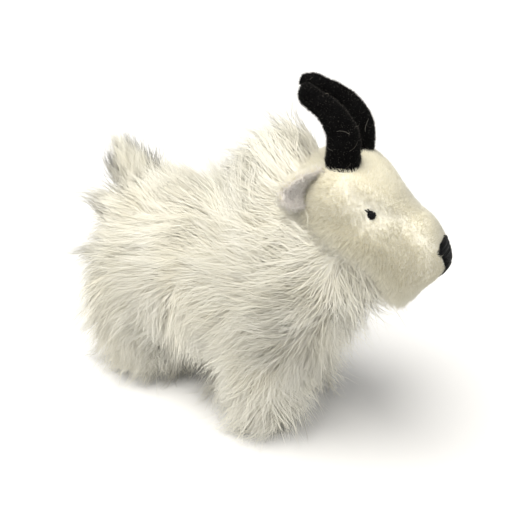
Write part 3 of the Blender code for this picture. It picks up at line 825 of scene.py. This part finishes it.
def guide(skin, root, out, dice):
    """One lock's middle line, and whether it is a wisp that stands out from the coat."""
    spot, up = Vector(root), Vector(out)
    crown = float(above(spot.z, 118, 8))
    length = PILE_LENGTH * (0.34 + 0.66 * max(float(ease(behind_face(spot) / FACE_FRINGE)), 0.7 * crown))
    length *= dice.uniform(0.8, 1.15)
    length *= 1 - 0.4 * on_tail(spot)
    length *= 1 + float(under(spot.z, 52, 14) * under(abs(spot.x - BELLY_X), BELLY_REACH, 10))
    loose = float(scruff(root[None])[0])
    silky = (1 - loose) / (1 - SILKY_SCRUFF)
    full = float(coat_depth(spot, up))
    depth = full * dice.uniform(0.45 + 0.2 * silky, 0.95 - 0.1 * silky)
    wide_turn = noise.noise(spot * 0.04) * 1.5
    turn = noise.noise(spot * 0.12 + Vector((7, 3, 1))) * 1.9
    sway = wide_turn + (turn + dice.uniform(-0.6, 0.6)) * (0.45 + 0.7 * loose)
    turn_back = dice.uniform(-0.5, 0.5) * (0.4 + 0.6 * loose)
    depth *= 1 + (0.5 - 0.25 * silky) * noise.noise(spot * 0.09 + Vector((1, 9, 4)))
    wisp = dice.random() < WISP_SHARE * (1 - 0.5 * silky)
    if wisp:
        depth = full * dice.uniform(1.0, 1.4 - 0.15 * silky)
    apart = lock_path(spot, up)
    if apart:
        return apart, True
    return guide_path(skin, spot, up, length, depth, sway, turn_back, WISP_RISE if wisp else RISE), wisp


class Guides:
    """Locks that the pile's strands follow."""

    def __init__(self, skin, dice):
        points, facing, _ = skin.scatter(GUIDE_TRIES, dice)
        keep = np.array([behind_face(p) > 0.2 for p in points]) & ~under_sole(points, facing, 2)
        points, facing = points[keep], facing[keep]
        kept = spread(points, GUIDE_SPACING)
        self.roots = points[kept]
        made = [guide(skin, root, out, dice) for root, out in zip(self.roots, facing[kept])]
        self.offsets = np.array([[tuple(p) for p in line] for line, _ in made]) - self.roots[:, None, :]
        self.wisps = np.array([wisp for _, wisp in made])
        self.tree = kdtree.KDTree(len(self.roots))
        for i, root in enumerate(self.roots):
            self.tree.insert(root, i)
        self.tree.balance()

    def nearest(self, points, count=3):
        """For each point the nearest guides and their shares."""
        index = np.zeros((len(points), count), int)
        away = np.zeros((len(points), count))
        for i, p in enumerate(points):
            for k, (_, at, d) in enumerate(self.tree.find_n(p, count)):
                index[i, k], away[i, k] = at, d
        share = 1 / (away + 0.4) ** 2.5
        return index, share / share.sum(axis=1, keepdims=True)


def above_floor(paths):
    """Strands that would pass into the floor, bent to lie just over it."""
    room = FLOOR_BENDS_FROM - FLOOR_CLEAR
    low = paths[..., 2] < FLOOR_BENDS_FROM
    bent = FLOOR_CLEAR + room * np.exp((paths[..., 2] - FLOOR_BENDS_FROM) / room)
    paths[..., 2] = np.where(low, bent, paths[..., 2])
    return paths


def held_in(paths):
    """Strands that would reach too far to a side, bent back."""
    room = SIDE_LIMIT - SIDE_BENDS_FROM
    wide = np.abs(paths[..., 1])
    bent = SIDE_LIMIT - room * np.exp(-np.maximum(wide - SIDE_BENDS_FROM, 0) / room)
    paths[..., 1] = np.where(wide > SIDE_BENDS_FROM, np.sign(paths[..., 1]) * bent, paths[..., 1])
    return paths


def resampled(paths, steps):
    """Paths with the same ends and fewer points between."""
    at = np.linspace(0, paths.shape[1] - 1, steps + 1)
    low = np.minimum(at.astype(int), paths.shape[1] - 2)
    share = (at - low)[None, :, None]
    return paths[:, low] * (1 - share) + paths[:, low + 1] * share


def twisted(offsets, facing, angles):
    """Offsets turned about the way the skin faces."""
    axis = facing[:, None, :]
    cos, sin = np.cos(angles)[:, None, None], np.sin(angles)[:, None, None]
    along = (offsets * axis).sum(axis=2, keepdims=True) * axis
    return offsets * cos + np.cross(axis, offsets) * sin + along * (1 - cos)


def pile_roots(skin, strands, dice):
    """Roots of the long pile, from the rump forwards, and how far each is behind the face."""
    points, facing, uv = skin.scatter(strands * 5 // 4, dice, density)
    away = np.array([behind_face(p) for p in points])
    keep = np.flatnonzero((away > 0) & ~under_sole(points, facing, 1.5))[:strands]
    keep = keep[np.argsort(points[keep, 0])]
    return points[keep], facing[keep], uv[keep], away[keep]


def pile_layer(skin, guides, name, strands, steps, least, most, radius, apart, material, dice):
    """One length of hair of the long pile, gathered into soft locks."""
    points, facing, uv, away = pile_roots(skin, strands, dice)
    count = len(points)

    def draw(low, high):
        return dice.uniform(low, high, count)[:, None, None]

    def draw_ways():
        return unit(dice.normal(size=(count, 3)))[:, None, :]

    # Each strand follows the locks round its root.
    index, share = guides.nearest(points)
    offsets = (guides.offsets[index] * share[:, :, None, None]).sum(axis=1)
    rough = scruff(points)[:, None, None]
    offsets = twisted(offsets, facing, dice.normal(size=count) * (0.1 + 0.3 * rough[:, 0, 0]))
    t = np.linspace(0, 1, GUIDE_STEPS + 1)[None, :, None]
    guard = (dice.random(count) < apart)[:, None, None]
    reach = draw(least, most) * np.where(guard, 1.1, 1.0)
    paths = points[:, None, :] + offsets * reach

    # Its tip is drawn to the nearest lock's, unless it is a guard hair, which stands apart.
    nearest = index[:, 0]
    wisp = guides.wisps[nearest][:, None, None]
    clump = dice.uniform(0.3, 0.95, len(guides.roots))[nearest][:, None, None]
    clump = clump * (0.4 + 0.5 * rough) * draw(0.6, 1.0)
    clump = np.where(wisp, draw(0.65, 0.95), clump)
    clump = np.where(guard, 0.15, clump)
    target = guides.roots[nearest][:, None, :] + guides.offsets[nearest] * reach
    paths = paths + (target - paths) * clump * t**1.1

    # It is lifted, strays and waves a little.
    lift = np.where(guard, draw(0.5, 5.0), draw(-0.3, 0.8)) * ease(points[:, 2] / 14)[:, None, None]
    near_face = (0.4 + 0.6 * ease(away / 8))[:, None, None]
    paths = paths + facing[:, None, :] * lift * near_face * t**1.3
    wander = draw_ways()
    stray = np.where(guard, 1.7, np.where(wisp, 0.4, 1.0))
    paths = paths + wander * t**1.6 * draw(0.3, 2.1) * (0.4 + 1.3 * rough) * stray * near_face
    wave = np.sin(2 * np.pi * (t * draw(0.6, 1.4) + draw(0, 1)))
    bend = draw_ways()
    paths = paths + bend * wave * t * draw(0.1, 0.9) * (0.3 + 1.2 * rough)
    paths = resampled(held_in(above_floor(paths)), steps)

    thick = radius * dice.uniform(0.75, 1.3, count) * np.where(guard[:, 0, 0], 0.85, 1.0)
    taper = 1 - 0.75 * np.linspace(0, 1, steps + 1) ** 1.5
    flat = dice.uniform(1.0, 1.8, count)
    tint = dice.random(count)
    thickness = thick[:, None] * taper[None]
    add_strands(name, "long_pile", material, paths, facing, thickness, flat, uv, tint, PILE_SOFT)


def long_pile(skin, material, dice):
    """The body's long fur, in its layers."""
    guides = Guides(skin, dice)
    for layer in PILE_LAYERS:
        pile_layer(skin, guides, *layer, material, dice)


# Materials


def node(tree, kind, **values):
    """A node of a material, with its settings."""
    made = tree.nodes.new(kind)
    for name, value in values.items():
        setattr(made, name, value)
    return made


def principled(name, settings):
    """A new material, its nodes and its Principled shader, with settings for the shader's own sockets."""
    made = bpy.data.materials.new(name)
    made.use_nodes = True
    shader = made.node_tree.nodes["Principled BSDF"]
    for socket, value in settings.items():
        shader.inputs[socket].default_value = value
    return made, made.node_tree, shader


def ramp(tree, source, stops):
    """Colours along a value."""
    made = node(tree, "ShaderNodeValToRGB")
    bar = made.color_ramp
    while len(bar.elements) < len(stops):
        bar.elements.new(0.5)
    for element, (at, colour) in zip(bar.elements, stops):
        element.position = at
        element.color = (*colour, 1)
    tree.links.new(source, made.inputs["Fac"])
    return made.outputs["Color"]


def noise_at(tree, scale, detail=3.0, roughness=0.55):
    """Noise over the object's own space, with scale in features per metre."""
    coords = node(tree, "ShaderNodeTexCoord")
    made = node(tree, "ShaderNodeTexNoise")
    for socket, value in (("Scale", scale), ("Detail", detail), ("Roughness", roughness)):
        made.inputs[socket].default_value = value
    tree.links.new(coords.outputs["Object"], made.inputs["Vector"])
    return made.outputs["Fac"]


def multiplied(tree, first, second):
    """Two colours multiplied."""
    made = node(tree, "ShaderNodeMix", data_type="RGBA", blend_type="MULTIPLY")

    def socket(name):
        return next(i for i in made.inputs if i.name == name and i.enabled)

    socket("Factor").default_value = 1.0
    tree.links.new(first, socket("A"))
    tree.links.new(second, socket("B"))
    return next(o for o in made.outputs if o.enabled)


def drawn_in(tree, attribute):
    """A value that the strands carry."""
    return node(tree, "ShaderNodeAttribute", attribute_name=attribute).outputs["Fac"]


def pile_material(name, dark, mid, light, sheen, roughness, spread_of_tone=0.07):
    """Fur whose roots are deeper in tone than its tips, with soft patches of warmth."""
    settings = {
        "Roughness": roughness,
        "Sheen Weight": sheen,
        "Sheen Roughness": 0.4,
        "Specular IOR Level": 0.35,
    }
    made, tree, shader = principled(name, settings)
    base = ramp(tree, drawn_in(tree, "along"), ((0.0, dark), (0.35, mid), (1.0, light)))
    low, middle = 1 - spread_of_tone, 1 - spread_of_tone * 0.3
    tones = ((0.0, (low, low, low * 0.96)), (0.5, (middle, middle, middle * 0.98)), (1.0, (1, 1, 1)))
    strands = multiplied(tree, base, ramp(tree, drawn_in(tree, "tint"), tones))
    patches = ramp(tree, noise_at(tree, 45), ((0.3, (0.93, 0.915, 0.87)), (0.62, (1, 1, 1))))
    tree.links.new(multiplied(tree, strands, patches), shader.inputs["Base Color"])
    return made


def felt_material(name, deep, worn):
    """Black cloth with a fine grain of paler fibres."""
    made, tree, shader = principled(name, {"Roughness": 1.0, "Specular IOR Level": 0.1})
    grain = noise_at(tree, 2600, 4.0, 0.7)
    fine = ramp(tree, grain, ((0.45, deep), (0.8, worn)))
    patches = ramp(tree, noise_at(tree, 160, 2.0), ((0.3, (0.55, 0.55, 0.55)), (0.7, (1.4, 1.35, 1.3))))
    tree.links.new(multiplied(tree, fine, patches), shader.inputs["Base Color"])
    bump = node(tree, "ShaderNodeBump")
    bump.inputs["Strength"].default_value = 0.5
    bump.inputs["Distance"].default_value = 0.0004
    tree.links.new(grain, bump.inputs["Height"])
    tree.links.new(bump.outputs["Normal"], shader.inputs["Normal"])
    return made


def fuzz_material(name, low, high, roughness, sheen):
    """Short fuzz whose fibres differ a little in tone."""
    settings = {
        "Roughness": roughness,
        "Sheen Weight": sheen,
        "Sheen Roughness": 0.35,
        "Sheen Tint": (0.6, 0.55, 0.48, 1),
        "Specular IOR Level": 0.12,
    }
    made, tree, shader = principled(name, settings)
    tones = ramp(tree, drawn_in(tree, "tint"), ((0.0, low), (0.8, low), (1.0, high)))
    tree.links.new(tones, shader.inputs["Base Color"])
    return made


def mottled_material(name, settings, scale, detail, low, high):
    """Cloth or thread with a fine grain of two tones."""
    made, tree, shader = principled(name, settings)
    tree.links.new(ramp(tree, noise_at(tree, scale, detail), (low, high)), shader.inputs["Base Color"])
    return made


def thread_material(name):
    """Twisted black thread with a soft shine."""
    settings = {"Roughness": 0.45, "Specular IOR Level": 0.1}
    low, high = (0.3, (0.0015, 0.0015, 0.002)), (0.8, (0.008, 0.008, 0.009))
    return mottled_material(name, settings, 3200, 2.0, low, high)


def backing_material(name, colour, roughness):
    """The woven cloth that fur covers."""
    low = tuple(c * 0.86 for c in colour)
    return mottled_material(name, {"Roughness": roughness}, 600, 3.0, (0.35, low), (0.65, colour))


# Head


def off_line(points, line):
    """How far points (x, z) are from a line of points."""
    points = np.asarray(points, float)
    nearest = np.full(len(points), 1e9)
    for start, end in zip(line, line[1:]):
        start, run = np.array(start, float), np.array(end, float) - np.array(start, float)
        along = np.clip(((points - start) @ run) / (run @ run), 0, 1)
        nearest = np.minimum(nearest, np.linalg.norm(points - start - along[:, None] * run, axis=1))
    return nearest


def ripple(points, size, key):
    """Smooth random values over space, about -1 to 1, that change over about size millimetres."""
    dice = np.random.default_rng(key)
    total = np.zeros(len(points))
    for _ in range(7):
        way = unit(dice.normal(size=3)) / size * dice.uniform(0.6, 1.7)
        total += np.sin(points @ way * 2 * math.pi * 0.5 + dice.uniform(0, 6.3))
    return total / 3.0


def hill(away, reach):
    """1 at a place, and smoothly less over its reach."""
    return np.exp(-((away / reach) ** 2))


def from_eye(upright):
    """How far points of the straight head are from the eye, seen from the side."""
    return np.linalg.norm(upright[:, [0, 2]] - np.array(EYE_AT), axis=1)


def head_skin(material):
    """The head's sewn cover, drawn in along the panel seam and under each eye."""
    head = closed("head_cover", head_rings(-HEAD_INSET, 96, 6))
    mesh = head.data
    points, normals = from_frame(values_of(mesh.vertices, "co", 3)), values_of(mesh.vertices, "normal", 3)
    upright = straightened(points)
    x, height = upright[:, 0], upright[:, 2]
    sides = above(np.abs(upright[:, 1]), 4, 3)
    seam = hill(off_line(upright[:, [0, 2]], PANEL_SEAM), SEAM_REACH) * SEAM_DEPTH * sides
    seam *= under(x, 73, 9) * above(x, 46, 6)
    dimple = hill(from_eye(upright), EYE_DIMPLE_REACH) * EYE_DIMPLE * sides
    lumps = ripple(upright, 26, 5) * 0.2
    away = np.array([behind_face(p) for p in points])
    lip = above(away, -9, 7) * under(height, 114, 8) * CHEEK_LIP
    tuck = above(away, 0.5, 4) * (UNDER_FUR_INSET - HEAD_INSET + 2.5)
    by_horn = np.linalg.norm(np.stack([x, np.abs(upright[:, 1])], axis=1) - HORN_COLLAR_AT, axis=1)
    collar = hill(by_horn, 8) * HORN_COLLAR * above(height, 112, 8)
    points += normals * (lumps + lip + collar - seam - dimple - tuck)[:, None]
    mesh.vertices.foreach_set("co", to_frame(points).astype(np.float32).ravel())
    mesh.update()
    unwrap(head)
    return dress(head, "short_pile", material, "head")


def nose_half_width(z):
    """Half the width of the nose's stitches at a height, which slopes in fast over its widest place."""
    rows = sorted(NOSE_OUTLINE, key=lambda p: p[1])
    wide = np.interp(z, [p[1] for p in rows], [p[0] for p in rows])
    widest, level = max(NOSE_OUTLINE)
    return np.where(z > level, widest - (z - level) * NOSE_TOP_SLOPE, wide)


def inside_nose(upright, margin=0.2):
    """Which points of the straight head lie under the nose's stitches."""
    x, y, z = upright[:, 0], np.abs(upright[:, 1]), upright[:, 2]
    inside = (z > NOSE_OUTLINE[-1][1] - margin) & (z < NOSE_OUTLINE[0][1] + margin)
    return inside & (y < nose_half_width(z) + margin) & (x > NOSE_FROM_X)


def short_pile(skin, material, dice):
    """The face's short fur: fine tufts that lean back and down."""
    points, facing, uv = skin.scatter(FACE_TUFTS * 2, dice)
    upright = straightened(points)
    away = np.array([behind_face(p) for p in points])
    eye = from_eye(upright)
    keep = (away < 4.0) & ~inside_nose(upright) & ~((eye < EYE_KNOT) & (np.abs(upright[:, 1]) > 8))
    keep = np.flatnonzero(keep)[:FACE_TUFTS]
    scattered = (points, facing, uv, upright, away, eye)
    points, facing, uv, upright, away, eye = (rows[keep] for rows in scattered)
    count = len(points)
    height = upright[:, 2]
    crown = above(height, 116, 12)[:, None]
    way = np.array([-0.62, 0.0, -0.78]) * (1 - crown) + np.array([-1.0, 0.0, 0.1]) * crown
    turn = math.radians(HEAD_TURN)
    way = np.stack([way[:, 0] * math.cos(turn), way[:, 0] * math.sin(turn), way[:, 2]], axis=1)
    swirl = np.stack([ripple(upright, 9, key) for key in (21, 22, 23)], axis=1)
    way = way + 0.12 * swirl + 0.22 * dice.normal(size=(count, 3))
    way = across_surface(way, facing)
    length = FACE_TUFT_LENGTH * dice.uniform(0.65, 1.15, count)
    length *= 0.62 + 0.38 * above(eye, 2, 8)
    length *= 1 - 0.5 * hill(off_line(upright[:, [0, 2]], PANEL_SEAM), 1.8)
    length *= 0.7 + 0.3 * under(upright[:, 0], 84, 14)
    fringe = above(away, -7, 8) * under(height, 118, 8)
    length *= 1 + 0.5 * above(away, -7, 8) + 1.9 * fringe * dice.uniform(0.5, 1.2, count)
    lean = 0.55 + 0.06 * ripple(upright, 3.5, 31) + 0.2 * fringe
    tips = points + (facing * (1 - 0.45 * lean)[:, None] + way * lean[:, None]) * length[:, None]
    tufts = (points, facing, uv, tips, 0.3, FACE_TUFT_RADIUS, FACE_SOFT)
    add_tufts("short_pile", "short_pile", material, *tufts, dice)


# Horns and ears


def horn_rings(side, corners, steps):
    """Sections of a horn, square to its line, where it stands on the turned head."""
    stations = smooth(HORN, steps)
    last = len(stations) - 1
    rings = []
    for i, (x, z, deep, wide, out) in enumerate(stations):
        before, after = stations[max(i - 1, 0)], stations[min(i + 1, last)]
        along = Vector((after[0] - before[0], 0, after[1] - before[1])).normalized()
        up = along.cross(Vector(ACROSS))
        back = -side * HORN_UNEVEN * (i / last) ** 2
        section = ring((x + back, side * out, z), ACROSS, up, wide, deep, corners, 2.1)
        rings.append([turned(p) for p in section])
    return rings


def add_nap(name, slot, material, skin, tufts, keep, dice):
    """Short fuzz over a piece, leaning every way. keep says which of its places have any."""
    count, length, radius, lean = tufts
    points, facing, uv = skin.scatter(count, dice)
    chosen = keep(points, facing)
    points, facing, uv = points[chosen], facing[chosen], uv[chosen]
    count = len(points)
    way = across_surface(dice.normal(size=(count, 3)), facing)
    tips = points + (facing + way * lean) * (length * dice.uniform(0.5, 1.2, count)[:, None])
    add_tufts(name, slot, material, points, facing, uv, tips, 0.2, radius, NAP_SOFT, dice)


def add_lint(name, skin, keep, material, dice, steps=5):
    """A few pale fibres caught on the felt, curled and lying close to it."""
    points, facing, uv = skin.scatter(LINT_FIBRES * 2, dice)
    chosen = np.flatnonzero(keep(points, facing))[:LINT_FIBRES]
    points, facing, uv = points[chosen], facing[chosen], uv[chosen]
    count = len(points)
    way = across_surface(dice.normal(size=(count, 3)), facing)
    t = np.linspace(0, 1, steps + 1)[None, :, None]
    long = dice.uniform(1.5, 5.5, count)[:, None, None]
    curl = unit(np.cross(way, facing))[:, None, :] * dice.uniform(-1, 1, count)[:, None, None]
    paths = points[:, None, :] + (way[:, None, :] * t + curl * t**2 * 0.6) * long
    paths = paths + facing[:, None, :] * (0.5 + 0.5 * t)
    ground = np.array([[skin.below(Vector(p))[0] for p in line] for line in paths])
    out = paths - ground
    paths = ground + unit(out) * np.clip(np.linalg.norm(out, axis=2, keepdims=True), 0.35, 0.9)
    radius = np.full((count, steps + 1), LINT_RADIUS)
    tint = dice.random(count)
    add_strands(name, "felt", material, paths, facing, radius, np.ones(count), uv, tint, NAP_SOFT)


def add_horn(side, word, head, felt, fuzz, lint, dice):
    """A stuffed felt horn with its fuzz and a few pale fibres caught on it."""
    horn = unwrap(closed(f"horn_{word}_felt", horn_rings(side, 40, 6)))
    dress(horn, "felt", felt, f"horn_{word}")
    skin = Skin(horn)

    def clear(points, facing):
        """Those of the points that are well out of the head."""
        over = [(Vector(p) - spot).dot(up) for p, (spot, up) in ((p, head.below(Vector(p))) for p in points)]
        return np.array(over) > HORN_BARE

    add_nap(f"horn_{word}_fuzz", "felt", fuzz, skin, HORN_FUZZ, clear, dice)
    add_lint(f"horn_{word}_lint", skin, clear, lint, dice)


def ear_mesh(side, name, steps=22, columns=22):
    """A leaf-shaped ear, hollow towards the front. Its front is the lining."""
    high, low, out = (Vector((x, side * y, z)) for x, y, z in (EAR_HIGH, EAR_LOW, EAR_OUT))
    out = out.normalized()
    across = (high - low) / 2
    back = (out.cross(across) * -side).normalized()
    if back.x > 0:
        back = -back
    front_side, back_side = [], []
    for i in range(steps + 1):
        t = i / steps
        narrow = math.sqrt(1 - (0.97 * t) ** EAR_ROUNDNESS)
        reach = -EAR_ROOT_DEPTH + (EAR_LENGTH + EAR_ROOT_DEPTH) * t
        for k in range(columns + 1):
            s = k / columns * 2 - 1
            cup = EAR_CUP * (1 - s * s) * (1 - 0.35 * t)
            edge = min(1 - abs(s), 1 - t) * columns / 2
            thick = EAR_THICK * (EAR_RIM + (1 - EAR_RIM) * float(ease(edge / 2.5)))
            spot = (high + low) / 2 + out * reach + across * s * narrow + back * cup
            front_side.append(turned(spot - back * thick / 2))
            back_side.append(turned(spot + back * thick / 2))
    lining, cover = two_sided(steps, columns)
    mesh = small_mesh(name, front_side + back_side, lining + cover)
    for face in mesh.polygons:
        face.material_index = 0 if face.index < len(lining) else 1
    return mesh, back


def add_ear(side, word, cover, lining, fur, nap_fur, dice):
    """A cupped ear: a smooth lining in front and pile behind."""
    mesh, back = ear_mesh(side, f"ear_{word}_cloth")
    ear = unwrap(outward(place(f"ear_{word}_cloth", mesh)))
    indices = values_of(mesh.polygons, "material_index", 1, np.int32)
    dress(ear, "short_pile", lining, f"ear_{word}")
    mesh.materials.append(cover)
    mesh.polygons.foreach_set("material_index", indices.ravel())
    skin = Skin(ear)
    behind_it = np.array(turned_way(back))

    def behind(points, facing):
        """Those of the points on the ear's back and rim."""
        return facing @ behind_it > -0.3

    def in_front(points, facing):
        """Those of the points in its cup and on its rim."""
        return facing @ behind_it < 0.5

    add_nap(f"ear_{word}_pile", "short_pile", fur, skin, EAR_PILE, behind, dice)
    add_nap(f"ear_{word}_nap", "short_pile", nap_fur, skin, EAR_NAP, in_front, dice)


# Threads


def tube(points, radius, corners=6):
    """Rings of a round thread along points, thin at its ends."""
    points = [Vector(p) for p in points]
    last = len(points) - 1
    rings = []
    side = None
    for i, p in enumerate(points):
        along = (points[min(i + 1, last)] - points[max(i - 1, 0)]).normalized()
        side = along.orthogonal() if side is None else side - along * side.dot(along)
        side = side.normalized()
        over = along.cross(side)
        size = radius * (0.6 if i in (0, last) else 1.0)
        turns = [2 * math.pi * k / corners for k in range(corners)]
        rings.append([p + (side * math.cos(turn) + over * math.sin(turn)) * size for turn in turns])
    return rings


def threads(name, lines):
    """Several round threads as one mesh."""
    points, faces = [], []
    for line in lines:
        rings = tube(line, THREAD_RADIUS)
        count, base = len(rings[0]), len(points)
        points += [tuple(p) for section in rings for p in section]
        faces += wall(rings, base)
        faces.append(tuple(base + k for k in range(count - 1, -1, -1)))
        faces.append(tuple(base + (len(rings) - 1) * count + k for k in range(count)))
    return place(name, small_mesh(name, points, faces))


def on_skin(skin, start, end, height):
    """The place over the skin that a line between two points of the straight head meets, and its facing."""
    start = turned(start)
    spot, facing, _, _ = skin.tree.ray_cast(start, (turned(end) - start).normalized())
    return spot + facing * height, facing


def on_muzzle(skin, y, z, height):
    """The place on the front of the straight head at a height over its skin, turned with it."""
    return on_skin(skin, (120, y, z), (0, y, z), height)[0]


def nose_levels(skin, step):
    """Heights down the tip of the muzzle at even steps along its surface."""
    levels = [NOSE_OUTLINE[0][1] - 0.1]
    z = levels[0]
    here = on_muzzle(skin, 0, z, 0)
    while z > NOSE_OUTLINE[-1][1]:
        z -= 0.05
        there = on_muzzle(skin, 0, z, 0)
        if (there - here).length >= step:
            levels.append(z)
            here = there
    return levels


def add_nose_patch(skin, thread, columns=16):
    """The padded patch under the stitches."""
    levels = nose_levels(skin, 1.0)
    top, bottom = [], []
    for z in levels:
        wide = float(nose_half_width(z)) - 0.7
        for k in range(columns + 1):
            y = wide * (k / columns * 2 - 1)
            top.append(on_muzzle(skin, y, z, 0.7 if 0 < k < columns else 0.2))
            bottom.append(on_muzzle(skin, y, z, -0.4))
    front, back = two_sided(len(levels) - 1, columns)
    patch = outward(place("nose_patch", small_mesh("nose_patch", top + bottom, front + back)))
    dress(patch, "thread", thread, "nose")


def add_nose_stitches(skin, thread, dice, steps=14):
    """Satin stitches laid across the tip of the muzzle, and a few that run down from them."""
    lines = []
    for z in nose_levels(skin, NOSE_STITCH_STEP):
        wide = float(nose_half_width(z))
        left, right = wide + dice.uniform(-0.6, 1.1), wide + dice.uniform(-0.6, 1.1)
        tilt = dice.uniform(-0.4, 0.4)
        over = dice.uniform(0.95, 1.4)
        line = []
        for k in range(steps + 1):
            s = k / steps
            arch = math.sin(math.pi * s) ** 0.35
            line.append(on_muzzle(skin, -left + (left + right) * s, z + tilt * (s - 0.5), 0.1 + over * arch))
        lines.append(line)
    low = NOSE_OUTLINE[-1][1]
    for y in NOSE_PRONGS:
        bottom = low - dice.uniform(0.3, 1.6)
        spots = [(y * (1 - 0.08 * k), bottom + k * 1.3, 0.4 + 0.9 * min(1, k / 1.5)) for k in range(5)]
        lines.append([on_muzzle(skin, *spot) for spot in spots])
    dress(threads("nose_stitches", lines), "thread", thread)


def add_eye(side, word, skin, thread, dice):
    """A knot of thread: short stitches crossed over each other, with loose ends."""
    x, z = EYE_AT
    hit, facing = on_skin(skin, (x, side * 60, z), (x, 0, z), 0)
    across = facing.cross(Vector(UP)).normalized()
    up = across.cross(facing)
    lines = []
    for n in range(EYE_STITCHES):
        turn = math.pi * (n / EYE_STITCHES + dice.uniform(-0.03, 0.03)) * 2.6
        way = across * math.cos(turn) + up * math.sin(turn)
        sideways = way.cross(facing) * dice.uniform(-0.7, 0.7)
        reach = EYE_KNOT * dice.uniform(0.8, 1.15)
        top = dice.uniform(1.1, 1.9)
        shares = [k / 8 * 2 - 1 for k in range(9)]
        arch = [top * (1 - s * s) ** 0.6 - 0.4 for s in shares]
        lines.append([hit + way * reach * s + sideways + facing * h for s, h in zip(shares, arch)])
    for back_way, rise, reach in EYE_LOOSE_ENDS:
        way = (turned_way((-back_way, 0, 0)) + Vector((0, 0, rise))).normalized()
        way = (way - facing * way.dot(facing)).normalized()
        lines.append([hit + way * (1.2 + reach * k / 4) + facing * (0.7 - 0.05 * k) for k in range(5)])
    dress(threads(f"eye_{word}_knot", lines), "thread", thread, f"eye_{word}")


# Camera and light


def stand(name, data, spot, back):
    """A camera or lamp at a place, looking the other way than back."""
    made = place(name, data)
    made.location = spot
    made.rotation_mode = "QUATERNION"
    made.rotation_quaternion = (-back).to_track_quat("-Z", "Y")
    return made


def add_camera():
    """The camera of the photograph."""
    azimuth, elevation = math.radians(CAMERA_AZIMUTH), math.radians(CAMERA_ELEVATION)
    level = math.cos(elevation)
    back = Vector((math.sin(azimuth) * level, -math.cos(azimuth) * level, math.sin(elevation)))
    data = bpy.data.cameras.new("camera")
    data.sensor_width = SENSOR_MM
    data.lens = SENSOR_MM * FOCAL_PIXELS / IMAGE_PIXELS
    data.clip_start, data.clip_end = 0.01, 20.0
    spot = Vector(to_frame([CAMERA_AIM])[0]) + back * CAMERA_DISTANCE * MM
    bpy.context.scene.camera = stand("camera", data, spot, back)


def add_light(name, towards, spread_degrees, strength, colour):
    """A broad even light from one side of the sky, spread over so many degrees."""
    data = bpy.data.lights.new(name, "SUN")
    data.angle = math.radians(spread_degrees)
    data.energy = strength
    data.color = colour
    direction = Vector(towards).normalized()
    stand(name, data, direction * LIGHT_AWAY, direction)


def add_floor():
    """A pale floor."""
    mesh = bpy.data.meshes.new("floor")
    corners = [(x * FLOOR_REACH, y * FLOOR_REACH, 0) for x, y in ((-1, -1), (1, -1), (1, 1), (-1, 1))]
    mesh.from_pydata(corners, [], [(0, 1, 2, 3)])
    settings = {"Base Color": (*FLOOR_COLOUR, 1), "Roughness": 0.9}
    mesh.materials.append(principled("floor_paper", settings)[0])
    place("floor", mesh)


def add_light_and_air():
    """A pale surrounding, brightest at the horizon, and soft light from above on the left."""
    world = bpy.data.worlds.new("studio")
    bpy.context.scene.world = world
    world.use_nodes = True
    tree = world.node_tree
    coords = node(tree, "ShaderNodeTexCoord")
    parts = node(tree, "ShaderNodeSeparateXYZ")
    tree.links.new(coords.outputs["Generated"], parts.inputs["Vector"])
    sky = ramp(tree, parts.outputs["Z"], ((0.1, (0.9, 0.9, 0.9)), (0.35, (0.22, 0.22, 0.22))))
    tree.links.new(sky, tree.nodes["Background"].inputs["Color"])
    bpy.context.scene.view_settings.view_transform = "Standard"
    add_light("key", (-0.25, -0.5, 1.4), 50, 3.5, (1.0, 0.975, 0.925))
    add_light("fill", (1.0, -0.3, 1.1), 40, 0.6, (1.0, 0.985, 0.96))


def main():
    """Makes the goat, its camera and its light."""
    dice = np.random.default_rng(SEED)
    cover = backing_material("backing", (0.93, 0.90, 0.78), 0.9)
    lining = backing_material("ear_lining", (0.88, 0.83, 0.80), 0.85)
    fur = pile_material("long_fur", *FUR_TONES, 0.15, 0.5)
    face = pile_material("face_fur", *FACE_TONES, 0.2, 0.6, 0.13)
    ear_nap = pile_material("ear_nap", *EAR_TONES, 0.35, 0.6)
    felt = felt_material("black_felt", FELT_BLACK, (0.010, 0.010, 0.010))
    fuzz = fuzz_material("felt_fuzz", FELT_BLACK, (0.06, 0.055, 0.048), 0.9, 0.12)
    lint = fuzz_material("lint", (0.10, 0.09, 0.075), (0.3, 0.28, 0.24), 0.7, 0.0)
    thread = thread_material("black_thread")
    add_camera()
    add_floor()
    add_light_and_air()
    body = body_skin(cover)
    long_pile(Skin(body), fur, dice)
    head = head_skin(cover)
    head_surface = Skin(head)
    short_pile(head_surface, face, dice)
    for side, word in ((-1, "right"), (1, "left")):
        add_horn(side, word, head_surface, felt, fuzz, lint, dice)
        add_ear(side, word, cover, lining, face, ear_nap, dice)
        add_eye(side, word, head_surface, thread, dice)
    add_nose_patch(head_surface, thread)
    add_nose_stitches(head_surface, thread, dice)


main()
